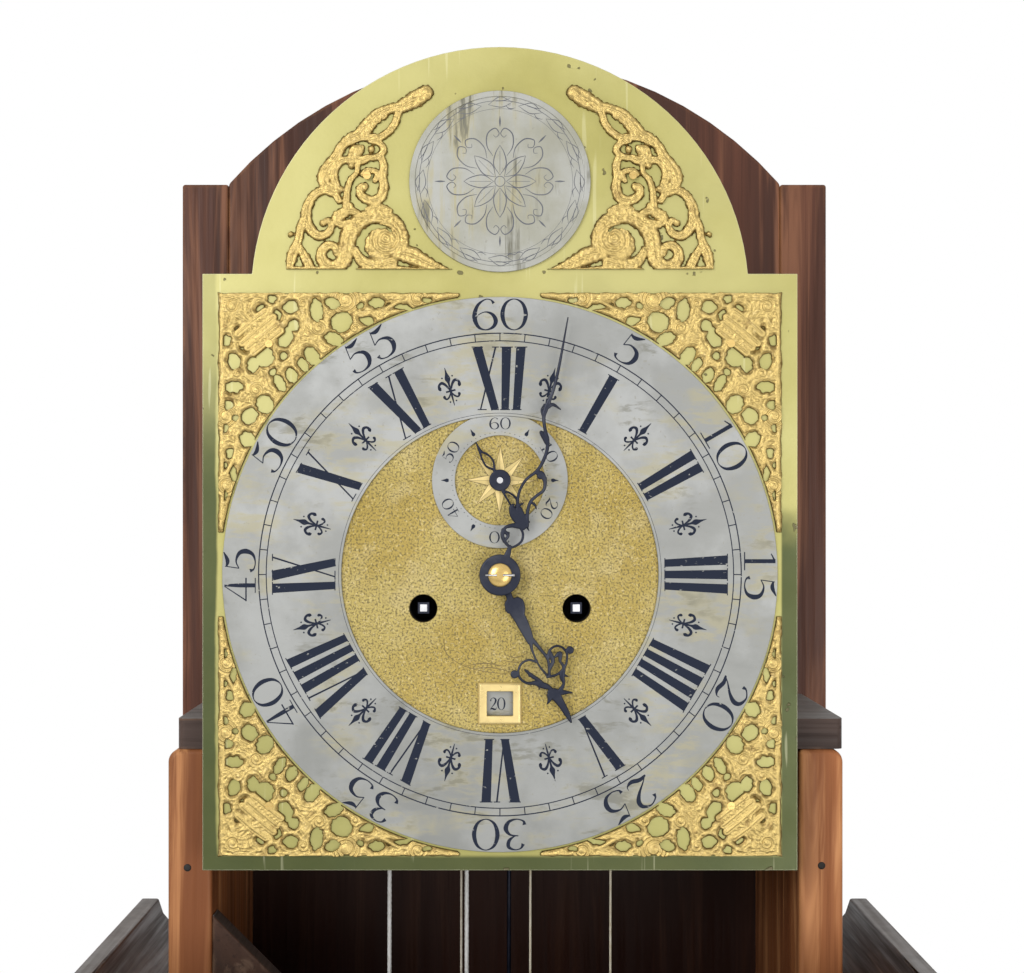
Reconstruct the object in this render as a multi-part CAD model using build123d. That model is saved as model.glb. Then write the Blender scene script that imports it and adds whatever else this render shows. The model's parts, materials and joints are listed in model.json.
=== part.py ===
from build123d import *
import math
import os

# A weight-driven longcase clock, shown with its hood taken off.
# Millimetres. X to the right, Y into the wall, Z up. The origin is on the floor, under the middle
# of the case. The dial faces -Y.

# Case
case_half = 178.0          # middle of the case to the outside of a trunk side
side_thick = 23.4          # trunk side board
side_front = -62.0         # front edge of the trunk sides
frame_thick = 20.0         # stiles and rails of the trunk front
wall_depth = 127.0         # back of the clock
backboard_thick = 14.0
backboard_half = 170.0     # half width of the middle board
ear_half = 198.5           # outside of the ears
ear_top = 2000.0
backboard_arch_radius = 225.6
backboard_arch_centre = 1852.0
wall_screw_radius = 3.0
wall_screw_height = 1905.0
throat_bottom = 1500.0
throat_top = 1560.0        # top of the rails that carry the hood
throat_reach = 45.5        # how far the throat moulding stands out
throat_edge = 10.5         # width of the rail's top edge
throat_foot = 9.0          # thickness of the throat moulding where it meets the trunk
throat_hollow = 4.5        # depth of its hollow
trunk_socket = 20.0        # how far the trunk stands down into the base
door_bottom = 650.0
door_top = 1440.0
stile_width = 58.0
base_height = 520.0
base_moulding_height = 50.0
base_board = 18.0
base_half = 212.0          # middle of the case to the outside of a base side
plinth_height = 110.0
plinth_thick = 11.5
bottom_board_height = 14.0
bottom_board_thick = 12.0
board_gap = 0.3            # gap left round loose boards
gusset_size = 86.0
gusset_thick = 18.0

# Seatboard
cheek_top = 1673.0
cheek_corner = 7.0         # worn rounding of the cheeks' top corners
seat_thick = 16.0
seat_left = 173.0
seat_right = 178.0
seat_front = -60.5
seat_back = 80.0
line_hole_radius = 5.0
seat_bolt_radius = 2.5

# Trunk door, its hinges and lock
door_gap = 1.5
lock_inset = 2.5           # door edge to the lock box
door_lip = 8.0
door_lip_thick = 7.7
door_arch_rise = 34.0
hinge_pin_radius = 1.3
hinge_knuckle_radius = 2.5
hinge_pin_clearance = 0.05
hinge_leaf_height = 60.0
hinge_leaf_thick = 1.2
hinge_heights = (770.0, 1300.0)
lock_height = 1050.0
lock_width = 48.0
bolt_throw = 8.0

# Dial
hand_centre = 1766.0       # height of the middle of the dial
movement_x = -3.0          # the movement sits a little left of the middle of the case
dial_front = -90.0
dial_thick = 2.0
dial_half = 152.5
dial_below = 151.7         # hand centre to the dial's bottom edge
dial_above = 154.1         # hand centre to the dial's shoulders
dial_arch_radius = 127.6
dial_arch_centre = 142.8   # above the hand centre
ring_thick = 1.5
chapter_outer = 142.2
chapter_inner = 81.2
seconds_above = 48.2       # hand centre to the seconds arbor
seconds_outer = 34.8
seconds_inner = 23.0
boss_radius = 46.4
boss_above = 201.2
boss_rim = 3.0
spandrel_thick = 2.5
spandrel_margin = 8.2
spandrel_reach = 122.5
spandrel_gap = 2.2         # between the spandrels and the rings
screw_radius = 2.0
winding_hole_radius = 7.2
winding_across = 39.3
winding_below = 17.4
date_below = 66.1
date_width = 13.3
date_height = 12.5
date_frame_border = 4.6
date_frame_thick = 2.0
date_ring_outer = 77.5
date_ring_inner = 56.0
date_ring_gap = 0.4
days = 31

# Movement plates
plate_half = 70.0
plate_thick = 2.5
plate_bottom = -77.0       # the plates stand on the seatboard
plate_top = 94.0
front_plate_back = -48.0
back_plate_front = 14.0
pillar_radius = 4.0
pillar_waist = 3.0
pillar_places = ((-50.0, -66.0), (50.0, -66.0), (-24.0, 86.0), (60.0, 84.0), (61.0, 27.0))
pivot_radius = 1.0
pivot_clearance = 0.05
arbor_radius = 1.6
end_shake = 0.3
running_clearance = 0.05
dial_foot_radius = 2.5
dial_foot_places = ((-60.0, -62.0), (62.0, -62.0), (-50.0, 84.0), (48.0, 84.0))

# Wheel teeth, as shares of the module
tooth_above = 0.7
tooth_below = 1.3
tooth_width = 1.05
tooth_taper = 0.45
wheel_thick = 2.0
pinion_thick = 4.0

# Going train
great_teeth = 96
centre_pinion = 8
centre_teeth = 60
third_pinion = 8
third_teeth = 56
escape_pinion = 7
escape_teeth = 30
third_module = 0.85        # centre wheel and third pinion
escape_module = 0.8        # third wheel and escape pinion
great_plane = 9.5          # front of the great wheels
centre_plane = -40.0
third_plane = -30.0
escape_plane = -12.0
escape_radius = 16.0
escape_tooth = 3.4

# Motion work in front of the front plate
motion_teeth = 40
motion_distance = 32.0
motion_pinion = 6
hour_teeth = 72
motion_plane = -56.0
hour_plane = -61.0
snail_large = 25.0
snail_step = 1.25
snail_thick = 1.5
snail_turn = -145.0        # degrees, so that the deepest step faces the rack's tail
cannon_radius = 3.6
hour_pipe_radius = 5.2

# Striking train
strike_great_teeth = 84
strike_pinion = 8
pin_teeth = 64
pin_module = 0.7
pin_at = (-36.0, 22.0)
pin_plane = -44.0
pin_circle = 20.9
gathering_angle = 56.3     # direction from the pin wheel to the gathering wheel
gathering_teeth = 56
gathering_module = 0.62
gathering_plane = -24.0
warning_angle = 135.0
warning_teeth = 48
warning_module = 0.55
warning_plane = -18.0
fly_angle = 30.0
fly_pinion = 7
fly_radius = 11.5
hammer_at = (-63.5, 24.0)
hammer_plane = -13.5
hammer_top = 106.0

# Hands
hand_thick = 1.4
hand_pin_radius = 0.7
hand_front = -101.0        # front of the minute hand
hour_hand_front = -96.8
seconds_hand_front = -94.2
seconds_hand_thick = 0.9

# Rack work
stud_radius = 1.5
rack_pivot = (-24.0, -52.0)
rack_radius = 87.0
rack_teeth = 14
rack_pitch = 1.3           # degrees
rack_plane = -66.5
hook_pivot = (-62.0, 48.0)
lifting_pivot = (26.0, -50.0)
lifting_plane = -74.0
lever_thick = 1.5

# Bell
bell_radius = 38.0
bell_height = 27.0
bell_rim = 100.0           # above the hand centre
bell_wall = 2.0
bell_depth_centre = -24.0
bell_stand_across = -40.0

# Pendulum
suspension_above = 76.0
pendulum_y = 48.0
pendulum_offset = 5.5      # the suspension stands this far right of the pallet arbor
suspension_length = 45.0
pendulum_rod_radius = 1.25
bob_below = 994.0          # suspension to the middle of the bob
bob_radius = 52.0
bob_thick = 30.0

crutch_length = 91.0
crutch_hole = 6.0
pallet_gap = 1.4           # escape wheel to the pallets at rest

# Barrels, lines, pulleys and weights
winding_arbor_radius = 4.5
winding_square = 5.6
winding_square_back = -56.0
winding_square_front = -85.5
line_reach = 22.2          # barrel arbor to the middle of the line
barrel_front = -37.0
barrel_back = 8.0
barrel_flange = 1.5
gut_radius = 0.75
gut_pitch = 2.4
gut_turns = 14
cord_radius = 1.3
cord_pitch = 3.05
cord_turns = 11
line_clearance = 0.05
gut_tied_across = 61.8
cord_tied_across = -18.4
pulley_height = 1430.0
pulley_clearance = 0.35
pulley_flange = 3.0
pulley_axle_radius = 2.0
stirrup_thick = 2.0
stirrup_width = 12.0
weight_radius = 29.0
weight_length = 190.0
repeat_cord_radius = 0.75
repeat_cord_x = -25.0
repeat_cord_y = 31.0
repeat_cord_bottom = 1340.0
repeat_cord_top = 1709.0
repeat_stud_radius = 1.5

seat_top = cheek_top + seat_thick
dial_back = dial_front + dial_thick
front_plate_front = front_plate_back - plate_thick
back_plate_back = back_plate_front + plate_thick
trunk_front = side_front - frame_thick
backboard_front = wall_depth - backboard_thick
base_front = plinth_thick - wall_depth
door_spring = door_top - door_arch_rise
frame_top = throat_bottom + 14
trunk_bottom = base_height - trunk_socket
door_inner = case_half - stile_width - door_gap
hinge_x = case_half - stile_width + door_lip + hinge_knuckle_radius
hinge_y = trunk_front - board_gap - door_lip_thick - hinge_leaf_thick / 2
lock_x = lock_width / 2 + lock_inset - door_inner
bolt_front = side_front + 0.5
bolt_thick = 4.0
seat_bolt_y = (front_plate_back + back_plate_front) / 2
gut_y = barrel_front + barrel_flange + gut_radius + 0.3 + gut_turns * gut_pitch
cord_y = barrel_front + barrel_flange + cord_radius + 0.3 + cord_turns * cord_pitch
suspension_x = movement_x + pendulum_offset
cock_plane = back_plate_back + 14
hand_pin_y = hand_front - 2.75
going_barrel_at = (winding_across, -winding_below)
strike_barrel_at = (-winding_across, -winding_below)
great_module = 2 * math.dist(going_barrel_at, (0, 0)) / (great_teeth + centre_pinion)
strike_module = 2 * math.dist(strike_barrel_at, pin_at) / (strike_great_teeth + strike_pinion)
motion_module = motion_distance / motion_teeth
hour_module = 2 * motion_distance / (hour_teeth + motion_pinion)
third_reach = third_module * (centre_teeth + third_pinion) / 2
escape_reach = escape_module * (third_teeth + escape_pinion) / 2
third_above = (third_reach ** 2 - escape_reach ** 2 + seconds_above ** 2) / (2 * seconds_above)
third_at = (math.sqrt(third_reach ** 2 - third_above ** 2), third_above)


def stepped(start, distance, degrees):
    """The place at a distance and a direction from another place."""
    angle = math.radians(degrees)
    return start[0] + distance * math.cos(angle), start[1] + distance * math.sin(angle)


gathering_at = stepped(pin_at, pin_module * (pin_teeth + strike_pinion) / 2, gathering_angle)
warning_at = stepped(gathering_at, gathering_module * (gathering_teeth + strike_pinion) / 2, warning_angle)
fly_at = stepped(warning_at, warning_module * (warning_teeth + fly_pinion) / 2, fly_angle)


def centre(across, above):
    """Turn a place on the movement into X and Z of the case."""
    return movement_x + across, hand_centre + above


def slab(outline, front, back):
    """Give an outline drawn in X and Z its thickness between two depths."""
    return extrude(Plane.XZ.offset(-back) * outline, back - front, dir=(0, -1, 0))


def board(left, right, front, back, bottom, top):
    """A rectangular board between six planes."""
    size = Box(right - left, back - front, top - bottom)
    return Pos((left + right) / 2, (front + back) / 2, (bottom + top) / 2) * size


def disc(x, z, radius, front, back):
    """A round rod or disc that lies along Y."""
    return slab(Pos(x, z) * Circle(radius), front, back)


def pipe(x, z, radius, bore, front, back):
    """A round pipe that lies along Y."""
    return slab(Pos(x, z) * (Circle(radius) - Circle(bore)), front, back)


def outline(points):
    """A closed straight-sided outline through the points."""
    return make_face(Polyline(*points, close=True))


def stroke(points, widths):
    """A flat bar through the points that takes each point's width, with round joints."""
    shape = Sketch()
    for (x, z), width in zip(points, widths):
        shape += Pos(x, z) * Circle(width / 2)
    for start, end, wide, narrow in zip(points, points[1:], widths, widths[1:]):
        length = math.dist(start, end)
        side = ((start[1] - end[1]) / length, (end[0] - start[0]) / length)
        corners = [(start[0] + side[0] * wide / 2, start[1] + side[1] * wide / 2),
                   (end[0] + side[0] * narrow / 2, end[1] + side[1] * narrow / 2),
                   (end[0] - side[0] * narrow / 2, end[1] - side[1] * narrow / 2),
                   (start[0] - side[0] * wide / 2, start[1] - side[1] * wide / 2)]
        shape += outline(corners)
    return shape


def bar(points, width, front, back):
    """A flat lever of one width through the points."""
    return slab(stroke(points, [width] * len(points)), front, back)


def polar(radius, degrees):
    """A point at a radius and an angle, anticlockwise from +X as seen from the front."""
    angle = math.radians(degrees)
    return radius * math.cos(angle), radius * math.sin(angle)


def toothed(teeth, module, phase):
    """The outline of a wheel or pinion with slim teeth, one of them at the phase angle."""
    pitch = teeth * module / 2
    tip = pitch + tooth_above * module
    root = pitch - tooth_below * module
    half = math.degrees(tooth_width * module / 2 / pitch)
    half_tip = half - math.degrees(tooth_taper * module / 2 / pitch)
    half_root = half + math.degrees(tooth_taper * module / 2 / pitch)
    points = []
    for tooth in range(teeth):
        middle = phase + 360 * tooth / teeth
        points += [polar(root, middle - half_root), polar(tip, middle - half_tip),
                   polar(tip, middle + half_tip), polar(root, middle + half_root)]
    return outline(points)


def crossings(inner, outer, arms, arm_width):
    """The openings between the arms of a wheel."""
    gaps = Circle(outer) - Circle(inner)
    for arm in range(arms):
        gaps -= Rot(0, 0, 360 * arm / arms) * Pos(outer / 2, 0) * Rectangle(outer + 2, arm_width)
    return gaps


def wheel(at, teeth, module, phase, plane, bore=0.0, arms=4):
    """A crossed-out wheel, one tooth at the phase angle, with its front at the plane."""
    shape = toothed(teeth, module, phase)
    pitch = teeth * module / 2
    shape -= crossings(pitch * 0.26, pitch - 3.4 * module, arms, pitch * 0.13)
    if bore:
        shape -= Circle(bore)
    return slab(Pos(*at) * shape, plane, plane + wheel_thick)


def pinion(at, leaves, module, phase, plane):
    """A pinion, a little wider than the wheel that it meshes with."""
    shape = Pos(*at) * toothed(leaves, module, phase)
    return slab(shape, plane - (pinion_thick - wheel_thick) / 2, plane + (pinion_thick + wheel_thick) / 2)


def direction(start, end):
    """The angle from one place to another, in degrees."""
    return math.degrees(math.atan2(end[1] - start[1], end[0] - start[0]))


def meshing(start, end, leaves):
    """The phase of a follower at the end whose gap meets the tooth that points from the start."""
    return direction(start, end) + 180 + 180 / leaves


def arbor(at, radius=arbor_radius):
    """A steel arbor between the plates with a pivot at each end."""
    body = disc(*at, radius, front_plate_back + end_shake, back_plate_front - end_shake)
    return body + disc(*at, pivot_radius, front_plate_front, back_plate_back)


def moulding(profile, wall_half, wall_front, back):
    """Three mitred lengths of moulding round a case: front, left and right.

    The profile's points are how far out from the wall and how high.
    """
    reach = max(out for out, height in profile)
    top = max(height for out, height in profile) + 1
    bottom = min(height for out, height in profile) - 1
    far = wall_half + reach
    right = slab(outline([(wall_half + out, height) for out, height in profile]), wall_front - reach, back)
    front_face = Plane.YZ.offset(-far) * outline([(wall_front - out, height) for out, height in profile])
    front = extrude(front_face, 2 * far, dir=(1, 0, 0))
    in_front = outline([(-far, wall_front - reach), (-wall_half, wall_front), (wall_half, wall_front),
                        (far, wall_front - reach)])
    ahead = extrude(Plane.XY.offset(bottom) * in_front, top - bottom, dir=(0, 0, 1))
    beside = outline([(wall_half, wall_front), (far, wall_front - reach), (far, back), (wall_half, back)])
    right &= extrude(Plane.XY.offset(bottom) * beside, top - bottom, dir=(0, 0, 1))
    return front & ahead, mirror(right, Plane.YZ), right


def backboard():
    """The middle board with its arched top and its wider foot, and an ear glued to each edge."""
    shoulder = backboard_arch_centre + math.sqrt(backboard_arch_radius ** 2 - backboard_half ** 2)
    foot = base_half - base_board
    middle = make_face(
        Polyline((backboard_half, shoulder), (backboard_half, base_height), (foot, base_height), (foot, 0),
                 (-foot, 0), (-foot, base_height), (-backboard_half, base_height),
                 (-backboard_half, shoulder))
        + ThreePointArc((-backboard_half, shoulder), (0, backboard_arch_centre + backboard_arch_radius),
                        (backboard_half, shoulder)))
    middle -= Pos(0, wall_screw_height) * Circle(wall_screw_radius)
    ear = outline([(backboard_half, throat_top), (ear_half, throat_top), (ear_half, ear_top),
                   (backboard_half, ear_top)])
    right = slab(ear, backboard_front, wall_depth)
    return Compound([slab(middle, backboard_front, wall_depth), right, mirror(right, Plane.YZ)])


def trunk_side():
    """The right trunk side, whose top end is the cheek under the seatboard."""
    side = board(case_half - side_thick, case_half, side_front, backboard_front, trunk_bottom, cheek_top)
    worn = side.edges().filter_by(Axis.Y).sort_by(Axis.Z)[-2:].sort_by(Axis.X)[-1]
    return fillet(worn, cheek_corner)


def seatboard():
    """The board that carries the movement, with holes for the lines, the bolts and the pendulum."""
    seat = board(-seat_left, seat_right, seat_front, seat_back, cheek_top, seat_top)
    seat = fillet(seat.edges().filter_by(Axis.Z).group_by(Axis.Y)[0], 4)
    falls = [(winding_across - line_reach, gut_y, line_hole_radius),
             (gut_tied_across, gut_y, gut_radius + 0.5),
             (-winding_across - line_reach, cord_y, line_hole_radius),
             (cord_tied_across, cord_y, cord_radius + 0.5)]
    for across, depth, radius in falls:
        seat -= upright(movement_x + across, depth, radius, cheek_top - 1, seat_top + 1)
    for across, above in pillar_places[:2]:
        seat -= upright(movement_x + across, seat_bolt_y, seat_bolt_radius + 0.3, cheek_top - 1,
                        seat_top + 1)
    seat -= upright(repeat_cord_x, repeat_cord_y, repeat_cord_radius + 1.5, cheek_top - 1, seat_top + 1)
    slot_half = 16
    seat -= board(suspension_x - slot_half, suspension_x + slot_half, pendulum_y - 9, seat_back + 1,
                  cheek_top - 1, seat_top + 1)
    return seat


def upright(x, y, radius, bottom, top):
    """A round rod that stands along Z."""
    return Pos(x, y, (bottom + top) / 2) * Cylinder(radius, top - bottom)


def trunk_frame():
    """Two stiles and two rails round the door's opening, the top rail arched below."""
    inner = case_half - stile_width
    parts = []
    for side in (-1, 1):
        edges = sorted((side * inner, side * case_half))
        parts.append(board(*edges, trunk_front, side_front, base_height, frame_top))
    parts.append(board(-inner, inner, trunk_front, side_front, base_height, door_bottom))
    head = outline([(-inner, frame_top), (inner, frame_top), (inner, door_spring), (-inner, door_spring)])
    head -= door_arch(inner, door_spring, door_top)
    parts.append(slab(head, trunk_front, side_front))
    return Compound(parts)


def door_arch(half, spring, top):
    """The low round head of the door or its opening."""
    return make_face(Line((-half, spring), (half, spring))
                     + ThreePointArc((half, spring), (0, top), (-half, spring)))


def door_outline(half, bottom, spring, top):
    """A door shape with a low round head."""
    return make_face(Polyline((-half, spring), (-half, bottom), (half, bottom), (half, spring))
                     + ThreePointArc((half, spring), (0, top), (-half, spring)))


def trunk_door():
    """The lipped door: a panel that fits the opening and a wider face with a rounded edge."""
    inner = door_inner
    outer = inner + door_gap + door_lip
    lip_back = trunk_front - board_gap
    body = slab(door_outline(inner, door_bottom + door_gap, door_spring, door_top - door_gap),
                lip_back - door_lip_thick / 2, side_front - door_gap * 2)
    lip = slab(door_outline(outer, door_bottom - door_lip, door_spring, door_top + door_lip),
               lip_back - door_lip_thick, lip_back)
    lip = fillet(lip.faces().sort_by(Axis.Y)[0].edges(), 4.5)
    return body + lip - keyhole(lip_back - door_lip_thick - 1, side_front)


def keyhole(front, back):
    """The keyhole through the door and its plate."""
    place = Pos(lock_x, lock_height)
    shape = place * Circle(3) + place * Pos(0, -6) * Rectangle(2.6, 12)
    return slab(shape, front, back)


def hinge_leaves_fixed():
    """Leaves on the right stile with their outer knuckles and the pins."""
    parts = []
    third = hinge_leaf_height / 3
    for height in hinge_heights:
        leaf = slab(outline([(hinge_x + 1, height - third * 1.5), (hinge_x + 22, height - third * 1.5),
                             (hinge_x + 22, height + third * 1.5), (hinge_x + 1, height + third * 1.5)]),
                    trunk_front - hinge_leaf_thick, trunk_front)
        hinge = leaf + board(hinge_x + 1, hinge_x + 3.4, hinge_y, trunk_front,
                             height - third * 1.5, height + third * 1.5)
        hinge -= board(hinge_x - 5, hinge_x + hinge_knuckle_radius + 0.3, hinge_y - 5,
                       hinge_y + hinge_knuckle_radius + 0.3, height - third / 2 - 0.3,
                       height + third / 2 + 0.3)
        for end in (-1, 1):
            low, high = sorted((height + end * third / 2 + end * 0.3, height + end * third * 1.5))
            hinge += upright(hinge_x, hinge_y, hinge_knuckle_radius, low, high)
        hinge += upright(hinge_x, hinge_y, hinge_pin_radius, height - third, height + third)
        parts.append(hinge)
    return Compound(parts)


def hinge_leaves_moving():
    """Leaves on the door's face with their middle knuckles."""
    parts = []
    third = hinge_leaf_height / 3
    for height in hinge_heights:
        leaf = board(hinge_x - 20, hinge_x, hinge_y - hinge_leaf_thick / 2, hinge_y + hinge_leaf_thick / 2,
                     height - third / 2, height + third / 2)
        leaf += board(hinge_x - 20, hinge_x - 5, hinge_y - hinge_leaf_thick / 2,
                      hinge_y + hinge_leaf_thick / 2, height - third * 1.5, height + third * 1.5)
        leaf += upright(hinge_x, hinge_y, hinge_knuckle_radius, height - third / 2, height + third / 2)
        leaf -= upright(hinge_x, hinge_y, hinge_pin_radius + hinge_pin_clearance,
                        height - third, height + third)
        parts.append(leaf)
    return Compound(parts)


def door_lock():
    """The iron lock box inside the door and the brass keyhole plate on its face."""
    back = side_front - door_gap * 2
    box = board(lock_x - lock_width / 2, lock_x + lock_width / 2, back, back + 11, lock_height - 30,
                lock_height + 30)
    box -= board(lock_x - lock_width, lock_x + lock_width / 2 - 8, bolt_front - 0.3, bolt_front + 4.3,
                 lock_height + 3.7, lock_height + 16.3)
    box -= keyhole(back - 1, back + 5)
    face = trunk_front - board_gap - door_lip_thick
    plate = slab(Pos(lock_x, lock_height - 3) * Ellipse(10, 17), face - 1, face)
    return Compound([box, plate - keyhole(face - 2, face + 1)])


def lock_bolt():
    """The bolt that slides out behind the left stile."""
    return board(lock_inset / 2 - door_inner, lock_x + lock_width / 2 - 10 - bolt_throw, bolt_front,
                 bolt_front + bolt_thick,
                 lock_height + 4, lock_height + 16)


def throat_mouldings():
    """Three sprung boards with a hollow front that flare out to the rails under the hood."""
    foot = (throat_foot, throat_bottom + 8)
    head = (throat_reach, throat_top - 8)
    profile = [(0, throat_bottom), (throat_foot - 3, throat_bottom), foot]
    for step in range(1, 6):
        share = step / 6
        hollow = throat_hollow * 4 * share * (1 - share)
        profile.append((foot[0] + (head[0] - foot[0]) * share - hollow * 0.78,
                        foot[1] + (head[1] - foot[1]) * share + hollow * 0.63))
    profile += [head, (throat_reach, throat_top), (throat_reach - throat_edge, throat_top),
                (throat_reach - throat_edge - 3, throat_top - 9), (0, throat_bottom + 14)]
    return Compound(list(moulding(profile, case_half, trunk_front, backboard_front)))


def corner_gusset():
    """The diagonal board in the front left corner of the trunk, behind the frame."""
    inner = case_half - side_thick
    top = 1586.0
    shape = outline([(-inner, top), (-inner, top - gusset_size), (-inner + gusset_size, top - gusset_size)])
    return slab(shape, side_front, side_front + gusset_thick)


def base_boards():
    """The sides, front and floor of the base, and the blocks that pack the trunk into it."""
    inner = base_half - base_board
    front = board(-base_half, base_half, base_front, base_front + base_board, 0, base_height)
    right = board(inner, base_half, base_front + base_board, wall_depth, 0, base_height)
    floor = board(-inner, inner, base_front + base_board, backboard_front, bottom_board_height,
                  bottom_board_height + bottom_board_thick)
    block = board(case_half, inner, side_front, backboard_front, trunk_bottom, base_height)
    packing = board(-inner, inner, base_front + base_board, side_front, trunk_bottom, base_height)
    return Compound([front, mirror(right, Plane.YZ), right, floor, block, mirror(block, Plane.YZ), packing])


def base_mouldings():
    """The moulding that steps from the base in to the trunk."""
    reach = base_half - case_half
    height = base_moulding_height
    profile = [(0, base_height), (reach, base_height), (reach, base_height + 9)]
    for step in range(0, 6):
        angle = math.radians(90 * step / 5)
        profile.append((reach - 4 - (reach - 11) * math.sin(angle),
                        base_height + height - 8 - (height - 18) * math.cos(angle)))
    profile += [(7, base_height + height), (0, base_height + height)]
    return Compound(list(moulding(profile, case_half, trunk_front, backboard_front)))


def plinth():
    """The plinth boards round the foot, with an eased top edge."""
    profile = [(0, 0), (plinth_thick, 0), (plinth_thick, plinth_height - 9),
               (plinth_thick - 4, plinth_height - 3), (plinth_thick - 7, plinth_height), (0, plinth_height)]
    return Compound(list(moulding(profile, base_half, base_front, wall_depth)))


def dial_plate():
    """The arched dial plate with its holes for the hands, the winding squares and the date."""
    arch_half = math.sqrt(dial_arch_radius ** 2 - (dial_above - dial_arch_centre) ** 2)
    plate = make_face(
        Polyline((arch_half, dial_above), (dial_half, dial_above), (dial_half, -dial_below),
                 (-dial_half, -dial_below), (-dial_half, dial_above), (-arch_half, dial_above))
        + ThreePointArc((-arch_half, dial_above), (0, dial_arch_centre + dial_arch_radius),
                        (arch_half, dial_above)))
    plate -= Circle(hour_pipe_radius + 1.5)
    plate -= Pos(0, seconds_above) * Circle(arbor_radius + 1)
    for side in (-1, 1):
        plate -= Pos(side * winding_across, -winding_below) * Circle(winding_hole_radius)
    plate -= Pos(0, -date_below) * Rectangle(date_width, date_height)
    return slab(Pos(*centre(0, 0)) * plate, dial_front, dial_back)


def chapter_ring():
    """The silvered ring of the hours and minutes."""
    return pipe(*centre(0, 0), chapter_outer, chapter_inner, dial_front - ring_thick, dial_front)


def seconds_ring():
    """The small silvered ring of the seconds."""
    ring = pipe(*centre(0, seconds_above), seconds_outer, seconds_inner, dial_front - ring_thick, dial_front)
    return ring & disc(*centre(0, 0), chapter_inner - running_clearance, dial_front - ring_thick, dial_front)


def arch_boss():
    """The domed-edge silvered disc in the arch."""
    at = centre(0, boss_above)
    boss = disc(*at, boss_radius, dial_front - ring_thick, dial_front)
    return boss + pipe(*at, boss_radius, boss_radius - boss_rim, dial_front - ring_thick - 0.6,
                       dial_front - 1)


def spandrels():
    """Four pierced corner castings and the two that fill the arch beside the boss."""
    return Compound(corner_spandrels() + arch_spandrels())


def corner_spandrels():
    """Four pierced castings between the chapter ring and the dial's corners."""
    edge = dial_half - spandrel_margin
    far = edge - spandrel_reach
    shape = outline([(edge, edge), (far, edge), (far, edge - 16), (edge - 16, far), (edge, far)])
    shape += outline([(far, edge), (far + 26, edge), (far + 26, edge - 40), (far, edge - 10)])
    shape -= Circle(chapter_outer + spandrel_gap)
    for radius, degrees, hole in ((155, 45, 4.5), (176, 45, 6), (160, 34, 5), (160, 56, 5), (178, 38, 4),
                                  (178, 52, 4), (152, 27, 3), (152, 63, 3), (192, 45, 3.5)):
        shape -= Pos(*polar(radius, degrees)) * Circle(hole)
    corners = []
    for across, above in ((1, 1), (-1, 1), (-1, -1), (1, -1)):
        piece = shape if across > 0 else mirror(shape, Plane.YZ)
        piece = piece if above > 0 else mirror(piece, Plane.XZ)
        corners.append(slab(Pos(*centre(0, 0)) * piece, dial_front - spandrel_thick, dial_front))
    return corners


def arch_spandrels():
    """Two pierced castings that fill the arch beside the boss."""
    foot = dial_above + 2.5
    shape = Pos(0, dial_arch_centre) * Circle(dial_arch_radius - 9)
    shape &= outline([(22, foot), (104, foot), (104, 270), (33, 270), (33, 240)])
    shape -= Pos(0, boss_above) * Circle(boss_radius + spandrel_gap)
    for x, z, hole in ((62, 176, 6), (80, 174, 6), (74, 192, 5), (62, 216, 5), (48, 236, 4), (44, 166, 4)):
        shape -= Pos(x, z) * Circle(hole)
    right = slab(Pos(*centre(0, 0)) * shape, dial_front - spandrel_thick, dial_front)
    left = slab(Pos(*centre(0, 0)) * mirror(shape, Plane.YZ), dial_front - spandrel_thick, dial_front)
    return [left, right]


def dial_fixings():
    """Six screw heads on the spandrels, and the four feet that pin the dial to the front plate."""
    parts = []
    face = dial_front - spandrel_thick
    across = polar(167, 45)[0]
    places = [(side * across, end * across) for side in (-1, 1) for end in (-1, 1)]
    places += [(side * 68, 166 + 38) for side in (-1, 1)]
    for place in places:
        head = disc(*centre(*place), screw_radius, face - 1, face)
        x, z = centre(*place)
        parts.append(head - board(x - 3, x + 3, face - 1.1, face - 0.6, z - 0.3, z + 0.3))
    for place in dial_foot_places:
        foot = disc(*centre(*place), dial_foot_radius, dial_back, front_plate_front)
        foot += disc(*centre(*place), dial_foot_radius - 1, front_plate_front, front_plate_back + 5)
        x, z = centre(*place)
        foot += upright(x, front_plate_back + 1, 0.6, z - 6, z + 5)
        parts.append(foot)
    return Compound(parts)


def date_frame():
    """The bevelled frame round the date aperture."""
    wide = date_width + 2 * date_frame_border
    high = date_height + 2 * date_frame_border
    place = Pos(*centre(0, -date_below))
    frame = slab(place * Rectangle(wide, high), dial_front - date_frame_thick, dial_front)
    frame = chamfer(frame.faces().sort_by(Axis.Y)[0].edges(), date_frame_thick * 0.6)
    return frame - slab(place * Rectangle(date_width, date_height), dial_front - 9, dial_front + 1)


def date_ring():
    """The silvered ring behind the aperture, with a saw tooth for each day round its inner edge."""
    shape = Circle(date_ring_outer)
    inner = []
    for day in range(days):
        start = 360 * day / days
        inner += [polar(date_ring_inner, start), polar(date_ring_inner + 3, start + 1.5)]
    shape -= outline(inner)
    back = dial_back + date_ring_gap
    return slab(Pos(*centre(0, 0)) * shape, back, back + 1.2)


def train_holes():
    """Each arbor's place with the radius of its hole in the front plate and in the back plate."""
    small = pivot_radius + pivot_clearance
    through = arbor_radius + running_clearance
    winding = winding_arbor_radius + running_clearance
    return {
        going_barrel_at: (winding, small),
        strike_barrel_at: (winding, small),
        (0.0, 0.0): (through, small),
        third_at: (small, small),
        (0.0, seconds_above): (through, small),
        (0.0, suspension_above): (small, crutch_hole),
        pin_at: (small, small),
        gathering_at: (through, small),
        warning_at: (small, small),
        fly_at: (small, small),
        hammer_at: (small, small),
    }


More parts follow.
